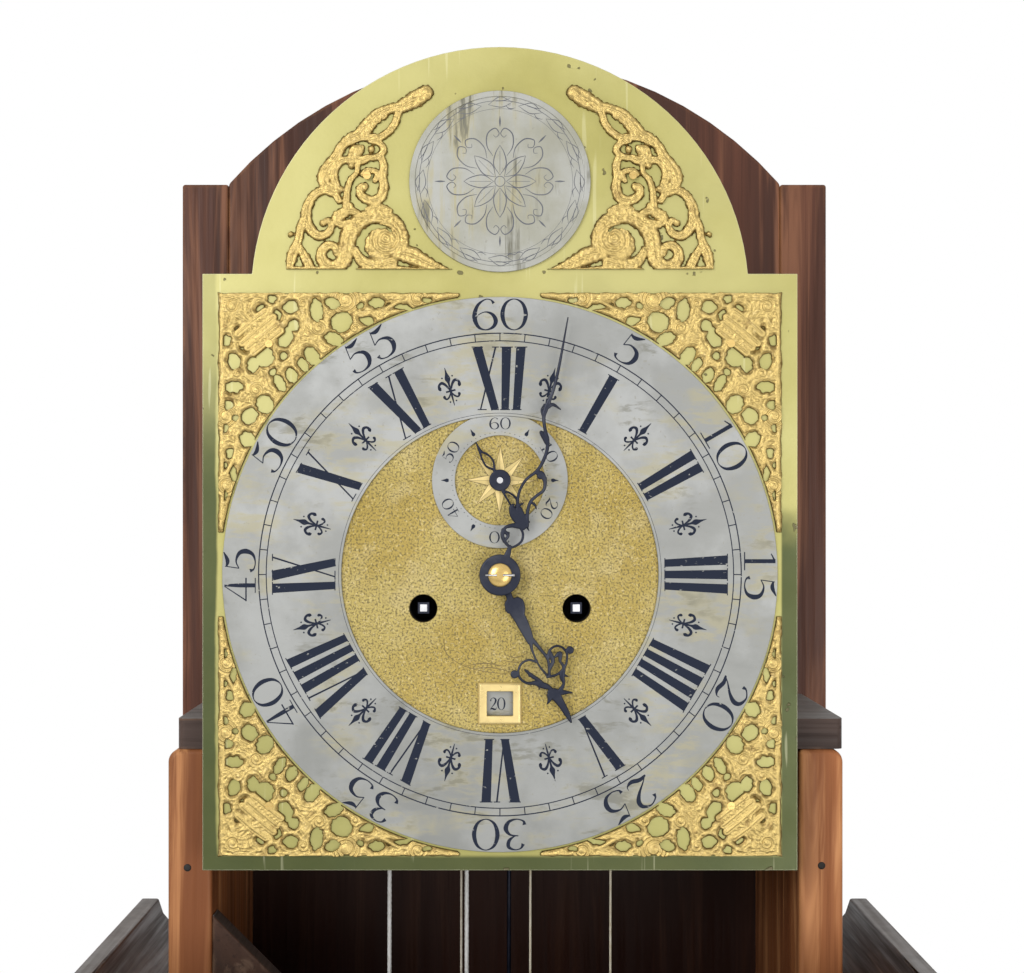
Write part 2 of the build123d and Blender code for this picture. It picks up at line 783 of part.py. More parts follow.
def movement_plate(front, side):
    """A brass plate drilled for every arbor; side 0 is the front plate and side 1 the back plate."""
    shape = outline([(-plate_half, plate_bottom), (plate_half, plate_bottom), (plate_half, plate_top),
                     (-plate_half, plate_top)])
    for place, radii in train_holes().items():
        shape -= Pos(*place) * Circle(radii[side])
    for place in pillar_places:
        shape -= Pos(*place) * Circle(pillar_waist)
    if side == 0:
        for place in dial_foot_places:
            shape -= Pos(*place) * Circle(dial_foot_radius - 1)
    return slab(Pos(*centre(0, 0)) * shape, front, front + plate_thick)


def pillars():
    """Five turned pillars, riveted in the back plate and pinned in front of the front plate."""
    parts = []
    length = back_plate_front - front_plate_back
    for place in pillar_places:
        profile = Polyline((0, 0), (pillar_radius + 1.5, 0), (pillar_radius + 1.5, 3), (pillar_waist, 8),
                           (pillar_waist, length / 2 - 6))
        swell = ThreePointArc((pillar_waist, length / 2 - 6), (pillar_radius + 1.5, length / 2),
                              (pillar_waist, length / 2 + 6))
        rest = Polyline((pillar_waist, length / 2 + 6), (pillar_waist, length - 8),
                        (pillar_radius + 1.5, length - 3), (pillar_radius + 1.5, length), (0, length),
                        (0, 0))
        turned = revolve(make_face(profile + swell + rest), Axis.Y)
        x, z = centre(*place)
        pillar = Pos(x, front_plate_back, z) * turned
        pillar += disc(x, z, pillar_waist, front_plate_front - 5, front_plate_back)
        pillar += disc(x, z, pillar_waist, back_plate_front, back_plate_back)
        pin_y = front_plate_front - 1
        pillar += upright(x, pin_y, 0.8, z - 7, z + 6)
        parts.append(pillar)
    return Compound(parts)


def seat_bolts():
    """Two bolts up through the seatboard to the bottom pillars, each with its head and washer."""
    parts = []
    for place in pillar_places[:2]:
        x, z = centre(*place)
        bolt = upright(x, seat_bolt_y, seat_bolt_radius, cheek_top - 4, z - pillar_radius - 1.5)
        bolt += upright(x, seat_bolt_y, 6.5, cheek_top - 4, cheek_top)
        parts.append(bolt - board(x - 7, x + 7, seat_bolt_y - 0.6, seat_bolt_y + 0.6, cheek_top - 5,
                                  cheek_top - 2.5))
    return Compound(parts)


def back_cock():
    """The bridge behind the back plate that takes the pallet arbor and holds the pendulum."""
    front = back_plate_back
    parts = []
    for side in (-1, 1):
        parts.append(board(side * 21 - 5, side * 21 + 5, front, cock_plane, 66, 92))
    bridge = board(-26, 26, cock_plane, cock_plane + 3, 66, 92)
    bridge += board(pendulum_offset - 8, pendulum_offset + 8, cock_plane, pendulum_y + 9,
                    suspension_above + 0.4, 92)
    bridge -= board(pendulum_offset - 0.3, pendulum_offset + 0.3, pendulum_y - 6, pendulum_y + 10,
                    suspension_above, 90)
    bridge -= slab(Pos(0, suspension_above) * Circle(pivot_radius + pivot_clearance), front, cock_plane + 4)
    for part in parts:
        bridge += part
    for side in (-1, 1):
        bridge += disc(side * 21, 86, 3, cock_plane + 3, cock_plane + 4.5)
    return Pos(movement_x, 0, hand_centre) * bridge


def bell():
    """The bell and, as a second piece, the bent steel stand that carries it."""
    radius = bell_radius
    outer = Line((radius, 0), (radius - 2, 3)) + ThreePointArc((radius - 2, 3), (25, 19), (0, bell_height))
    inner = (Line((0, bell_height), (0, bell_height - bell_wall))
             + ThreePointArc((0, bell_height - bell_wall), (25 - 1.6, 19 - 1.6), (radius - 4, 3))
             + Line((radius - 4, 3), (radius, 0)))
    shell = revolve(Plane.XZ * make_face(outer + inner), Axis.Z)
    shell -= upright(0, 0, 2.1, 0, bell_height + 5)
    shell = Pos(movement_x, bell_depth_centre, hand_centre + bell_rim) * shell
    top = bell_rim + bell_height
    foot = back_plate_back
    left, right = bell_stand_across - 6, bell_stand_across + 6
    stand = board(left, right, foot, foot + 2.5, 64, top + 7)
    stand += board(left, right, bell_depth_centre - 4, foot + 2.5, top + 4.5, top + 7)
    stand += board(left, 6, bell_depth_centre - 6, bell_depth_centre + 6, top + 4.5, top + 7)
    stand += upright(0, bell_depth_centre, 2.0, top - 7, top + 10)
    stand += upright(0, bell_depth_centre, 4.5, top + 0.05, top + 4.5)
    stand += upright(0, bell_depth_centre, 4.0, top - 7.5, top - 4.0)
    stand += disc(bell_stand_across, 72, 3.2, foot + 2.5, foot + 4)
    return Compound([shell, Pos(movement_x, 0, hand_centre) * stand])


def centre_arbor():
    """The centre arbor with its pinion and wheel, and the cannon pipe and wheel that turn with it."""
    at = centre(0, 0)
    great = centre(*going_barrel_at)
    third = centre(*third_at)
    shaft = disc(*at, arbor_radius, hand_front - 4.3, back_plate_front - end_shake)
    shaft += disc(*at, pivot_radius, back_plate_front - 1, back_plate_back)
    shaft += pinion(at, centre_pinion, great_module, meshing(great, at, centre_pinion), great_plane)
    shaft += wheel(at, centre_teeth, third_module, direction(at, third), centre_plane)
    shaft -= Pos(at[0], hand_pin_y, at[1]) * Rot(0, 90, 0) * Cylinder(hand_pin_radius + 0.05, 5)
    minute = centre(0, -motion_distance)
    front = hand_front + 0.1
    cannon = pipe(*at, cannon_radius, arbor_radius, front, front_plate_front - 1)
    cannon += wheel(at, motion_teeth, motion_module, direction(at, minute), motion_plane, arbor_radius)
    return Compound([shaft, cannon])


def minute_wheel():
    """The minute wheel and its pinion, running on a stud in the front plate."""
    at = centre(0, -motion_distance)
    middle = centre(0, 0)
    shape = wheel(at, motion_teeth, motion_module, meshing(middle, at, motion_teeth), motion_plane)
    shape += pinion(at, motion_pinion, hour_module, direction(at, middle), hour_plane)
    shape += disc(*at, 1.6, hour_plane, front_plate_front - 1)
    return shape - disc(*at, pivot_radius + pivot_clearance, hour_plane - 3, front_plate_front)


def hour_wheel():
    """The hour wheel on its pipe, with the snail that tells the rack how many blows to strike."""
    at = centre(0, 0)
    minute = centre(0, -motion_distance)
    bore = cannon_radius + running_clearance
    shape = wheel(at, hour_teeth, hour_module, meshing(minute, at, hour_teeth), hour_plane, bore)
    shape += pipe(*at, hour_pipe_radius, bore, hour_hand_front + hand_thick, hour_plane)
    steps = []
    for hour in range(12):
        radius = snail_large - snail_step * hour
        steps += [polar(radius, snail_turn + 30 * hour + part) for part in (0, 10, 20, 29.9)]
    snail = outline(steps) - Circle(bore)
    return shape + slab(Pos(*at) * snail, hour_plane - snail_thick, hour_plane)


def third_arbor():
    """The third arbor: its pinion meets the centre wheel, and its wheel the escape pinion."""
    at = centre(*third_at)
    shape = arbor(at)
    shape += pinion(at, third_pinion, third_module, meshing(centre(0, 0), at, third_pinion), centre_plane)
    escape = centre(0, seconds_above)
    return shape + wheel(at, third_teeth, escape_module, direction(at, escape), third_plane)


def escape_arbor():
    """The escape arbor, whose long front end carries the seconds hand."""
    at = centre(0, seconds_above)
    shape = disc(*at, arbor_radius, seconds_hand_front + 0.2, back_plate_front - end_shake)
    shape += disc(*at, pivot_radius, back_plate_front - 1, back_plate_back)
    shape += pinion(at, escape_pinion, escape_module, meshing(centre(*third_at), at, escape_pinion),
                    third_plane)
    points = []
    for tooth in range(escape_teeth):
        start = 360 * tooth / escape_teeth
        points += [polar(escape_radius - escape_tooth, start), polar(escape_radius, start + 5),
                   polar(escape_radius, start + 5.6), polar(escape_radius - escape_tooth, start + 3.5)]
    rim = outline(points) - crossings(4, escape_radius - escape_tooth - 2.2, 4, 2)
    return shape + slab(Pos(*at) * rim, escape_plane, escape_plane + 1.5)


def pallets():
    """The pallet arbor with the anchor over the escape wheel and the crutch behind the back plate."""
    at = centre(0, suspension_above)
    shape = disc(*at, arbor_radius, front_plate_back + end_shake, cock_plane - end_shake)
    shape += disc(*at, pivot_radius, front_plate_front, cock_plane + 3)
    drop = suspension_above - seconds_above
    arms = []
    for side in (-1, 1):
        nib = polar(escape_radius + pallet_gap, 90 - side * 38)
        arms.append([(0, 0), (side * 9, -3), (nib[0] + side * 2.5, nib[1] - drop + 5),
                     (nib[0], nib[1] - drop)])
    for points in arms:
        shape += slab(Pos(*at) * stroke(points, (6, 4.5, 3, 1.2)), escape_plane - 0.5, escape_plane + 2)
    crutch = cock_plane - 6
    foot = (pendulum_offset, -crutch_length)
    shape += slab(Pos(*at) * stroke([(0, 0), (0, -8), (pendulum_offset, -30), foot], (5, 3, 2, 2)),
                  crutch, crutch + 1.5)
    x, z = at[0] + foot[0], at[1] + foot[1]
    for side in (-1, 1):
        edge = pendulum_rod_radius + 0.35
        low, high = sorted((x + side * edge, x + side * (edge + 1.3)))
        shape += board(low, high, crutch, pendulum_y + 4, z - 2, z + 2)
    return shape + board(x - edge - 1.3, x + edge + 1.3, crutch, crutch + 2, z - 2, z + 2)


def pendulum():
    """The pendulum: suspension spring and rod, then the lenticular bob, then the rating nut."""
    top = hand_centre + suspension_above
    x = suspension_x
    low = top - suspension_length
    bob_z = top - bob_below
    rod = board(x - 0.12, x + 0.12, pendulum_y - 4, pendulum_y + 4, low, top)
    rod += board(x - 1.5, x + 1.5, pendulum_y - 5, pendulum_y + 5, low - 12, low)
    rod += upright(x, pendulum_y, pendulum_rod_radius, bob_z - bob_radius - 34, low - 12)
    half = bob_thick / 2
    lens = make_face(Polyline((0, -half), (0, half))
                     + ThreePointArc((0, half), (bob_radius * 0.72, half * 0.55), (bob_radius, 0.8))
                     + Polyline((bob_radius, 0.8), (bob_radius, -0.8))
                     + ThreePointArc((bob_radius, -0.8), (bob_radius * 0.72, -half * 0.55), (0, -half)))
    bob = Pos(x, pendulum_y, bob_z) * revolve(lens, Axis.Y)
    bob -= upright(x, pendulum_y, pendulum_rod_radius + 0.05, bob_z - bob_radius - 2, bob_z + bob_radius + 2)
    nut = upright(x, pendulum_y, 8, bob_z - bob_radius - 7, bob_z - bob_radius - 0.2)
    nut += upright(x, pendulum_y, 4.5, bob_z - bob_radius - 13, bob_z - bob_radius - 7)
    nut -= upright(x, pendulum_y, pendulum_rod_radius + 0.05, bob_z - bob_radius - 20, bob_z - bob_radius)
    return Compound([rod, bob, nut])


def lever_studs():
    """Steel studs on the front plate that carry the minute wheel, the rack and its levers."""
    studs = disc(*centre(0, -motion_distance), pivot_radius, hour_plane - 1.5, front_plate_front)
    for place, plane in ((rack_pivot, rack_plane), (hook_pivot, rack_plane), (lifting_pivot, lifting_plane)):
        studs += disc(*centre(*place), stud_radius, plane - 1, front_plate_front)
    return studs


def front_plate():
    """The front plate with the studs riveted in it."""
    return movement_plate(front_plate_front, 0) + lever_studs()


def back_plate():
    """The back plate with the stud from which the repeat cord hangs."""
    above = repeat_cord_top + repeat_stud_radius
    stud = disc(repeat_cord_x, above, repeat_stud_radius, back_plate_back, repeat_cord_y + 3)
    return movement_plate(back_plate_front, 1) + stud


def great_wheel(place, teeth, module, meets):
    """A great wheel, loose on its barrel's arbor, with the click that holds the barrel's ratchet."""
    at = centre(*place)
    shape = wheel(at, teeth, module, direction(at, meets), great_plane,
                  winding_arbor_radius + running_clearance, 6)
    click = Pos(*at) * stroke([polar(26, 250), polar(21, 262), polar(18, 272)], (5, 3, 1.4))
    return shape + slab(click, great_plane - 1.2, great_plane)


def barrel(place, wire_radius):
    """A line barrel on its winding arbor, flanged in front, with a ratchet behind."""
    at = centre(*place)
    shape = disc(*at, line_reach - wire_radius - line_clearance, barrel_front, barrel_back)
    shape += disc(*at, line_reach + 1.8, barrel_front, barrel_front + barrel_flange)
    teeth = [polar(radius, 18 * tooth + turn)
             for tooth in range(20) for radius, turn in ((14.5, 0), (17, 2))]
    shape += slab(Pos(*at) * outline(teeth), barrel_back, barrel_back + 1)
    shape += disc(*at, winding_arbor_radius, winding_square_back, back_plate_front - end_shake)
    shape += disc(*at, pivot_radius, back_plate_front - 1, back_plate_back)
    square = slab(Pos(*at) * Rectangle(winding_square, winding_square), winding_square_front,
                  winding_square_back)
    return shape + square


def turns_of_line(place, wire_radius, pitch, turns, leave_y):
    """The line wound on its barrel, one unbroken tube that leaves downwards on the left."""
    x, z = centre(*place)

    def point(quarter):
        across, above = polar(line_reach, 180 - 90 * quarter)
        return Vector(x + across, leave_y - pitch * quarter / 4, z + above)

    def heading(quarter):
        across, above = polar(line_reach * math.pi / 2, 90 - 90 * quarter)
        return Vector(across, -pitch / 4, above).normalized()

    edges = [Line(point(0) - heading(0) * 2 * wire_radius, point(0))]
    for quarter in range(turns * 4):
        start, end = point(quarter), point(quarter + 1)
        first, last = heading(quarter), heading(quarter + 1)
        chord = end - start
        lean = chord.dot(first + last)
        swing = 2 * (first.dot(last) - 1)
        reach = (lean - math.sqrt(lean ** 2 - swing * chord.dot(chord))) / swing
        joint = (start + end + (first - last) * reach) * 0.5
        edges.append(TangentArc(start, joint, tangent=first))
        edges.append(TangentArc(joint, end, tangent=edges[-1] % 1))
    final = point(turns * 4)
    edges.append(Line(final, final + heading(turns * 4) * 2 * wire_radius))
    places = [edge @ 0.5 for edge in edges[1:-1]]
    apart = min((a - b).length for i, a in enumerate(places) for b in places[i + 5:])
    print("line on barrel: least gap to itself", round(apart - 2 * wire_radius, 2), "mm")
    path = Wire(edges)
    section = Plane(origin=path @ 0, z_dir=path % 0) * Circle(wire_radius)
    return sweep(section, path=path)


def weight_line(place, tied_across, wire_radius, leave_y):
    """One whole line: down from its barrel, round the pulley and up to its knot on the seatboard."""
    start_x, start_z = centre(place[0] - line_reach, place[1])
    tied_x = movement_x + tied_across
    down = Line((start_x, leave_y, start_z - 2 * wire_radius - board_gap),
                (start_x, leave_y, pulley_height))
    turn = ThreePointArc((start_x, leave_y, pulley_height),
                         ((start_x + tied_x) / 2, leave_y, pulley_height - abs(tied_x - start_x) / 2),
                         (tied_x, leave_y, pulley_height))
    up = Line((tied_x, leave_y, pulley_height), (tied_x, leave_y, seat_top + 3))
    path = Wire([down, turn, up])
    line = sweep(Plane(origin=path @ 0, z_dir=path % 0) * Circle(wire_radius), path=path)
    knot_radius = wire_radius * 1.6 + 1.6
    knot = Pos(tied_x, leave_y, seat_top + knot_radius * 0.8) * Sphere(knot_radius)
    knot &= upright(tied_x, leave_y, knot_radius + 1, seat_top + 0.1, seat_top + 3 * knot_radius)
    return line + knot


def pulley_radius(place, tied_across):
    """The middle of the line's turn round the pulley."""
    return abs(tied_across - (place[0] - line_reach)) / 2


def pulley_across(place, tied_across):
    """Where the pulley hangs, from the middle of the movement."""
    return (tied_across + place[0] - line_reach) / 2


def pulley(place, tied_across, wire_radius, leave_y):
    """A brass pulley with a groove for its line."""
    bottom = pulley_radius(place, tied_across) - wire_radius - pulley_clearance
    rim = bottom + pulley_flange + wire_radius
    half = wire_radius + 0.45
    bore = pulley_axle_radius + running_clearance
    shape = make_face(Polyline((bore, -half - 2), (bottom - 3, -half - 2), (rim - 1, -half - 2),
                               (rim, -half - 1), (bottom, -half), (bottom, half), (rim, half + 1),
                               (rim - 1, half + 2), (bore, half + 2), close=True))
    x = movement_x + pulley_across(place, tied_across)
    turned = revolve(shape, Axis.Y)
    for hole in range(5):
        turned -= slab(Pos(*polar((bottom + bore) / 2, 72 * hole)) * Circle(bottom * 0.2), -20, 20)
    return Pos(x, leave_y, pulley_height) * turned


def weight(place, tied_across, wire_radius, leave_y):
    """The pulley's stirrup with its axle, and the brass-cased weight that hangs from it."""
    x = movement_x + pulley_across(place, tied_across)
    rim = pulley_radius(place, tied_across) + pulley_flange - pulley_clearance
    inside = wire_radius + 0.45 + 2 + 0.5
    outside = inside + stirrup_thick
    floor = pulley_height - rim - 5
    shape = upright(x, leave_y, 3, floor - 16, floor)
    shape += board(x - stirrup_width / 2, x + stirrup_width / 2, leave_y - outside, leave_y + outside,
                   floor - stirrup_thick, floor)
    for side in (-1, 1):
        low, high = sorted((leave_y + side * inside, leave_y + side * outside))
        shape += board(x - stirrup_width / 2, x + stirrup_width / 2, low, high, floor, pulley_height)
        shape += disc(x, pulley_height, stirrup_width / 2, low, high)
    shape += disc(x, pulley_height, pulley_axle_radius, leave_y - outside - 1, leave_y + outside + 1)
    top = floor - 16
    profile = make_face(Polyline((0, top), (5, top), (7, top - 5), (weight_radius - 8, top - 9))
                        + ThreePointArc((weight_radius - 8, top - 9), (weight_radius - 2, top - 11.5),
                                        (weight_radius, top - 17))
                        + Polyline((weight_radius, top - 17), (weight_radius, top - weight_length),
                                   (weight_radius - 2, top - weight_length - 3),
                                   (0, top - weight_length - 3), (0, top)))
    turned = revolve(Plane.XZ * profile, Axis.Z)
    return Compound([shape, Pos(x, leave_y, 0) * turned])


def pin_wheel():
    """The pin wheel, whose eight pins lift the hammer's tail."""
    at = centre(*pin_at)
    barrel_at = centre(*strike_barrel_at)
    shape = arbor(at)
    shape += pinion(at, strike_pinion, strike_module, meshing(barrel_at, at, strike_pinion), great_plane)
    shape += wheel(at, pin_teeth, pin_module, gathering_angle, pin_plane)
    for pin in range(8):
        across, above = polar(pin_circle, 45 * pin + 22)
        shape += disc(at[0] + across, at[1] + above, 0.8, pin_plane - 3, pin_plane + 0.5)
    return shape


def gathering_wheel():
    """The wheel whose arbor carries the gathering pallet in front of the rack."""
    at = centre(*gathering_at)
    shape = disc(*at, arbor_radius, rack_plane - 2, back_plate_front - end_shake)
    shape += disc(*at, pivot_radius, back_plate_front - 1, back_plate_back)
    shape += pinion(at, strike_pinion, pin_module, meshing(centre(*pin_at), at, strike_pinion), pin_plane)
    shape += wheel(at, gathering_teeth, gathering_module, warning_angle, gathering_plane)
    pallet = Circle(3) + stroke([(0, 0), polar(5.6, -80)], (4, 1.6))
    shape += slab(Pos(*at) * pallet, rack_plane - 2, rack_plane + lever_thick)
    tail = stroke([(0, 0), polar(13, 75)], (4, 2))
    return shape + slab(Pos(*at) * tail, rack_plane - 2, rack_plane - 0.4)


def warning_wheel():
    """The warning wheel, which drives the fly."""
    at = centre(*warning_at)
    shape = arbor(at)
    shape += pinion(at, strike_pinion, gathering_module, meshing(centre(*gathering_at), at, strike_pinion),
                    gathering_plane)
    return shape + wheel(at, warning_teeth, warning_module, fly_angle, warning_plane)


def fly():
    """The fly, whose two vanes keep the blows at an even pace."""
    at = centre(*fly_at)
    shape = arbor(at, arbor_radius * 0.8)
    shape += pinion(at, fly_pinion, warning_module, meshing(centre(*warning_at), at, fly_pinion),
                    warning_plane)
    return shape + board(at[0] - fly_radius, at[0] + fly_radius, -8, 8, at[1] - 0.5, at[1] + 0.5)


def hammer():
    """The bell hammer on its arbor, with the tail that the pin wheel lifts."""
    x, z = centre(*hammer_at)
    shape = arbor((x, z))
    side = movement_x - bell_radius
    head_x = side - 2.5
    shape += slab(stroke([(x, z), (head_x - 6, z + 36), (head_x - 6, hand_centre + hammer_top)], (6, 4, 3)),
                  hammer_plane, hammer_plane + 3)
    head = Pos((head_x * 2 - 12) / 2, hammer_plane + 1.5, hand_centre + hammer_top) \
        * Rot(0, 90, 0) * Cylinder(5, 12)
    tail = bar([(x, z), (x + 3.5, z - 0.5)], 3, pin_plane - 3, pin_plane - 1)
    return shape + fillet(head.edges(), 1) + tail


def rack():
    """The rack with its toothed sector and the tail that drops on the snail."""
    teeth = []
    for tooth in range(rack_teeth):
        start = 90 + rack_pitch * tooth
        teeth += [polar(rack_radius - 2.2, start), polar(rack_radius, start + 0.25),
                  polar(rack_radius, start + 0.5)]
    last = 90 + rack_pitch * rack_teeth + 2
    teeth += [polar(rack_radius - 2.2, last), polar(rack_radius - 8, last), polar(rack_radius - 8, 99),
              polar(rack_radius - 8, 90)]
    shape = outline(teeth) + stroke([(0, 0), polar(36, 96), polar(rack_radius - 5, 99)], (12, 5, 5))
    tail = polar(50, 93)
    shape += stroke([(0, 0), polar(20, 82), tail], (10, 4, 4))
    shape -= Circle(stud_radius + running_clearance)
    at = centre(*rack_pivot)
    lever = slab(Pos(*at) * shape, rack_plane, rack_plane + lever_thick)
    lever += pipe(*at, 4, stud_radius + running_clearance, rack_plane, front_plate_front - 1)
    pin_x, pin_z = centre(rack_pivot[0] + tail[0], rack_pivot[1] + tail[1])
    return lever + disc(pin_x, pin_z, 0.8, rack_plane, hour_plane - 0.3)


def rack_hook():
    """The hook that holds the rack as it is gathered."""
    at = centre(*hook_pivot)
    beak = polar(rack_radius + 1.1, 106)
    tip = (rack_pivot[0] + beak[0] - hook_pivot[0], rack_pivot[1] + beak[1] - hook_pivot[1])
    shape = stroke([(0, 0), (12, 0), tip], (8, 4.5, 1)) + stroke([(12, 0), (22, -1)], (4, 3))
    shape -= Circle(stud_radius + running_clearance)
    lever = slab(Pos(*at) * shape, rack_plane, rack_plane + lever_thick)
    return lever + pipe(*at, 4, stud_radius + running_clearance, rack_plane, front_plate_front - 1)


def lifting_piece():
    """The lever that the minute wheel lifts to set the striking off."""
    at = centre(*lifting_pivot)
    shape = stroke([(0, 0), (-22, 2)], (8, 3))
    shape += stroke([(0, 0), (-3, 40), (-6, 74), (-62, 92)], (8, 5, 4.5, 3.5))
    shape -= Circle(stud_radius + running_clearance)
    lever = slab(Pos(*at) * shape, lifting_plane, lifting_plane + lever_thick)
    return lever + pipe(*at, 4, stud_radius + running_clearance, lifting_plane, front_plate_front - 1)


def minute_hand():
    """The long serpentine hand, its domed collet and the taper pin."""
    at = centre(0, 0)
    shape = Circle(10.5)
    shape += stroke([(0, 0), (5.8, 13.2), (6.3, 15)], (13, 7, 4))
    shape += Pos(6.3, 20.4) * (Circle(6.2) - Circle(2.8))
    shape += stroke([(5.2, 32.8), (8.5, 27.5), (10.9, 28.0), (14.1, 25.5)], (2.5, 5, 3.5, 2.5))
    shape += stroke([(10.9, 28.6), (9.4, 34.9), (9.4, 40.2), (12.1, 46.3), (19.7, 52.4), (23.9, 61.8),
                     (23.9, 68.2), (22.4, 78.5), (24.5, 87.9), (27.6, 100.3), (35, 132.3)],
                    (4.5, 3.2, 3.2, 3.4, 4, 4.2, 3.4, 4.2, 4.8, 3.6, 1.2))
    shape += stroke([(14.1, 25.5), (14.6, 35.9), (16.1, 42.2), (21.2, 45.3), (21.7, 50.4)],
                    (2, 2, 2, 2.4, 3.6))
    shape += stroke([(24.5, 87.9), (30.7, 84.7)], (4, 1.4)) + stroke([(23, 76), (17.5, 72.5)], (3.6, 1.2))
    shape -= Circle(cannon_radius + running_clearance)
    hand = slab(Pos(*at) * shape, hand_front, hand_front + hand_thick)
    collet = pipe(*at, 6.1, arbor_radius + running_clearance, hand_front - 2, hand_front)
    collet = fillet(collet.edges().filter_by(GeomType.CIRCLE).sort_by(Axis.Y)[:1], 0.2)
    pin = Pos(at[0], hand_pin_y, at[1]) * Rot(0, 90, 0) * Cylinder(hand_pin_radius, 15)
    return Compound([hand, collet, pin])


def hour_hand():
    """The pierced hour hand with its heart of scrolls."""
    shape = Circle(9.5) + stroke([(0, 0), (4.2, -9.5), (6.2, -16.5), (16.6, -33.6)], (12, 8, 9, 4))
    for at in ((13.1, -48.4), (29.2, -42.2)):
        shape += Pos(*at) * (Circle(6.6) - Circle(3.8))
    shape += stroke([(16.6, -33.6), (17.5, -43)], (4, 2.6)) + stroke([(16.6, -33.6), (24, -39.5)], (4, 2.6))
    shape += stroke([(13.1, -54.5), (19.7, -56.2), (27.5, -61)], (3, 3, 4))
    shape += stroke([(34, -47), (30.5, -55), (29.2, -61.6)], (3, 3, 4))
    shape += Pos(7.0, -50.6) * Circle(1.7) + Pos(35.5, -38.2) * Circle(1.7)
    shape += stroke([(7.0, -50.6), (10, -50)], (2, 2)) + stroke([(35.5, -38.2), (33, -40)], (2, 2))
    shape += stroke([(28.5, -60), (24.1, -65.7)], (4, 1.4)) + stroke([(29.5, -60), (36.1, -60.1)], (4, 1.4))
    shape += stroke([(28.5, -60), (36.5, -75.1)], (6, 1.2))
    shape -= Circle(cannon_radius + running_clearance)
    return slab(Pos(*centre(0, 0)) * shape, hour_hand_front, hour_hand_front + hand_thick)


def seconds_hand():
    """The small hand of the seconds, with its open loop and short tail."""
    shape = Circle(2.9) + stroke([(0, 0), (-4.2, 7)], (3, 1.4))
    shape += stroke([(-4.2, 7), (-9.5, 10.5), (-9.6, 15.5), (-11.5, 20.3)], (1.5, 1.5, 1.5, 0.8))
    shape += stroke([(-4.2, 7), (-3.6, 12.5), (-8.5, 15), (-11.5, 20.3)], (1.5, 1.5, 1.5, 0.8))
    shape += stroke([(0, 0), (5, -8), (7.5, -12)], (3, 1.6, 2.6))
    shape -= Circle(arbor_radius)
    at = centre(0, seconds_above)
    return slab(Pos(*at) * shape, seconds_hand_front, seconds_hand_front + seconds_hand_thick)


def repeat_cord():
    """The thin cord that hangs down into the trunk, with a knot at its end."""
    cord = upright(repeat_cord_x, repeat_cord_y, repeat_cord_radius, repeat_cord_bottom, repeat_cord_top)
    return cord + Pos(repeat_cord_x, repeat_cord_y, repeat_cord_bottom + 1) * Sphere(2.6)


NODES = {
    "backboard": backboard,
    "trunk_side_left": lambda: mirror(trunk_side(), Plane.YZ),
    "trunk_side_right": trunk_side,
    "seatboard": seatboard,
    "trunk_frame": trunk_frame,
    "throat_mouldings": throat_mouldings,
    "corner_gusset": corner_gusset,
    "base_boards": base_boards,
    "base_mouldings": base_mouldings,
    "plinth": plinth,
    "trunk_door": trunk_door,
    "hinge_leaves_fixed": hinge_leaves_fixed,
    "hinge_leaves_moving": hinge_leaves_moving,
    "door_lock": door_lock,
    "lock_bolt": lock_bolt,
    "dial_plate": dial_plate,
    "chapter_ring": chapter_ring,
    "seconds_ring": seconds_ring,
    "arch_boss": arch_boss,
    "spandrels": spandrels,
    "dial_fixings": dial_fixings,
    "date_frame": date_frame,
    "date_ring": date_ring,
    "front_plate": front_plate,
    "back_plate": back_plate,
    "pillars": pillars,
    "seat_bolts": seat_bolts,
    "back_cock": back_cock,
    "bell": bell,
    "centre_arbor": centre_arbor,
    "minute_wheel": minute_wheel,
    "hour_wheel": hour_wheel,
    "third_arbor": third_arbor,
    "escape_arbor": escape_arbor,
    "pallets": pallets,
    "pendulum": pendulum,
    "great_wheel_going": lambda: great_wheel(going_barrel_at, great_teeth, great_module, centre(0, 0)),
    "great_wheel_strike": lambda: great_wheel(strike_barrel_at, strike_great_teeth, strike_module,
                                              centre(*pin_at)),
    "barrel_going": lambda: barrel(going_barrel_at, gut_radius),
    "barrel_strike": lambda: barrel(strike_barrel_at, cord_radius),
    "line_turns_going": lambda: turns_of_line(going_barrel_at, gut_radius, gut_pitch, gut_turns, gut_y),
    "line_turns_strike": lambda: turns_of_line(strike_barrel_at, cord_radius, cord_pitch, cord_turns,
                                               cord_y),
    "weight_line_going": lambda: weight_line(going_barrel_at, gut_tied_across, gut_radius, gut_y),
    "weight_line_strike": lambda: weight_line(strike_barrel_at, cord_tied_across, cord_radius, cord_y),
    "pulley_going": lambda: pulley(going_barrel_at, gut_tied_across, gut_radius, gut_y),
    "pulley_strike": lambda: pulley(strike_barrel_at, cord_tied_across, cord_radius, cord_y),
    "weight_going": lambda: weight(going_barrel_at, gut_tied_across, gut_radius, gut_y),
    "weight_strike": lambda: weight(strike_barrel_at, cord_tied_across, cord_radius, cord_y),
    "pin_wheel": pin_wheel,
    "gathering_wheel": gathering_wheel,
    "warning_wheel": warning_wheel,
    "fly": fly,
    "hammer": hammer,
    "rack": rack,
    "rack_hook": rack_hook,
    "lifting_piece": lifting_piece,
    "minute_hand": minute_hand,
    "hour_hand": hour_hand,
    "seconds_hand": seconds_hand,
    "repeat_cord": repeat_cord,
}

os.makedirs("parts", exist_ok=True)
for name, make in NODES.items():
    export_step(make(), "parts/" + name + ".step")
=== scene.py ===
import json
import logging
import math
from dataclasses import dataclass
from enum import Enum

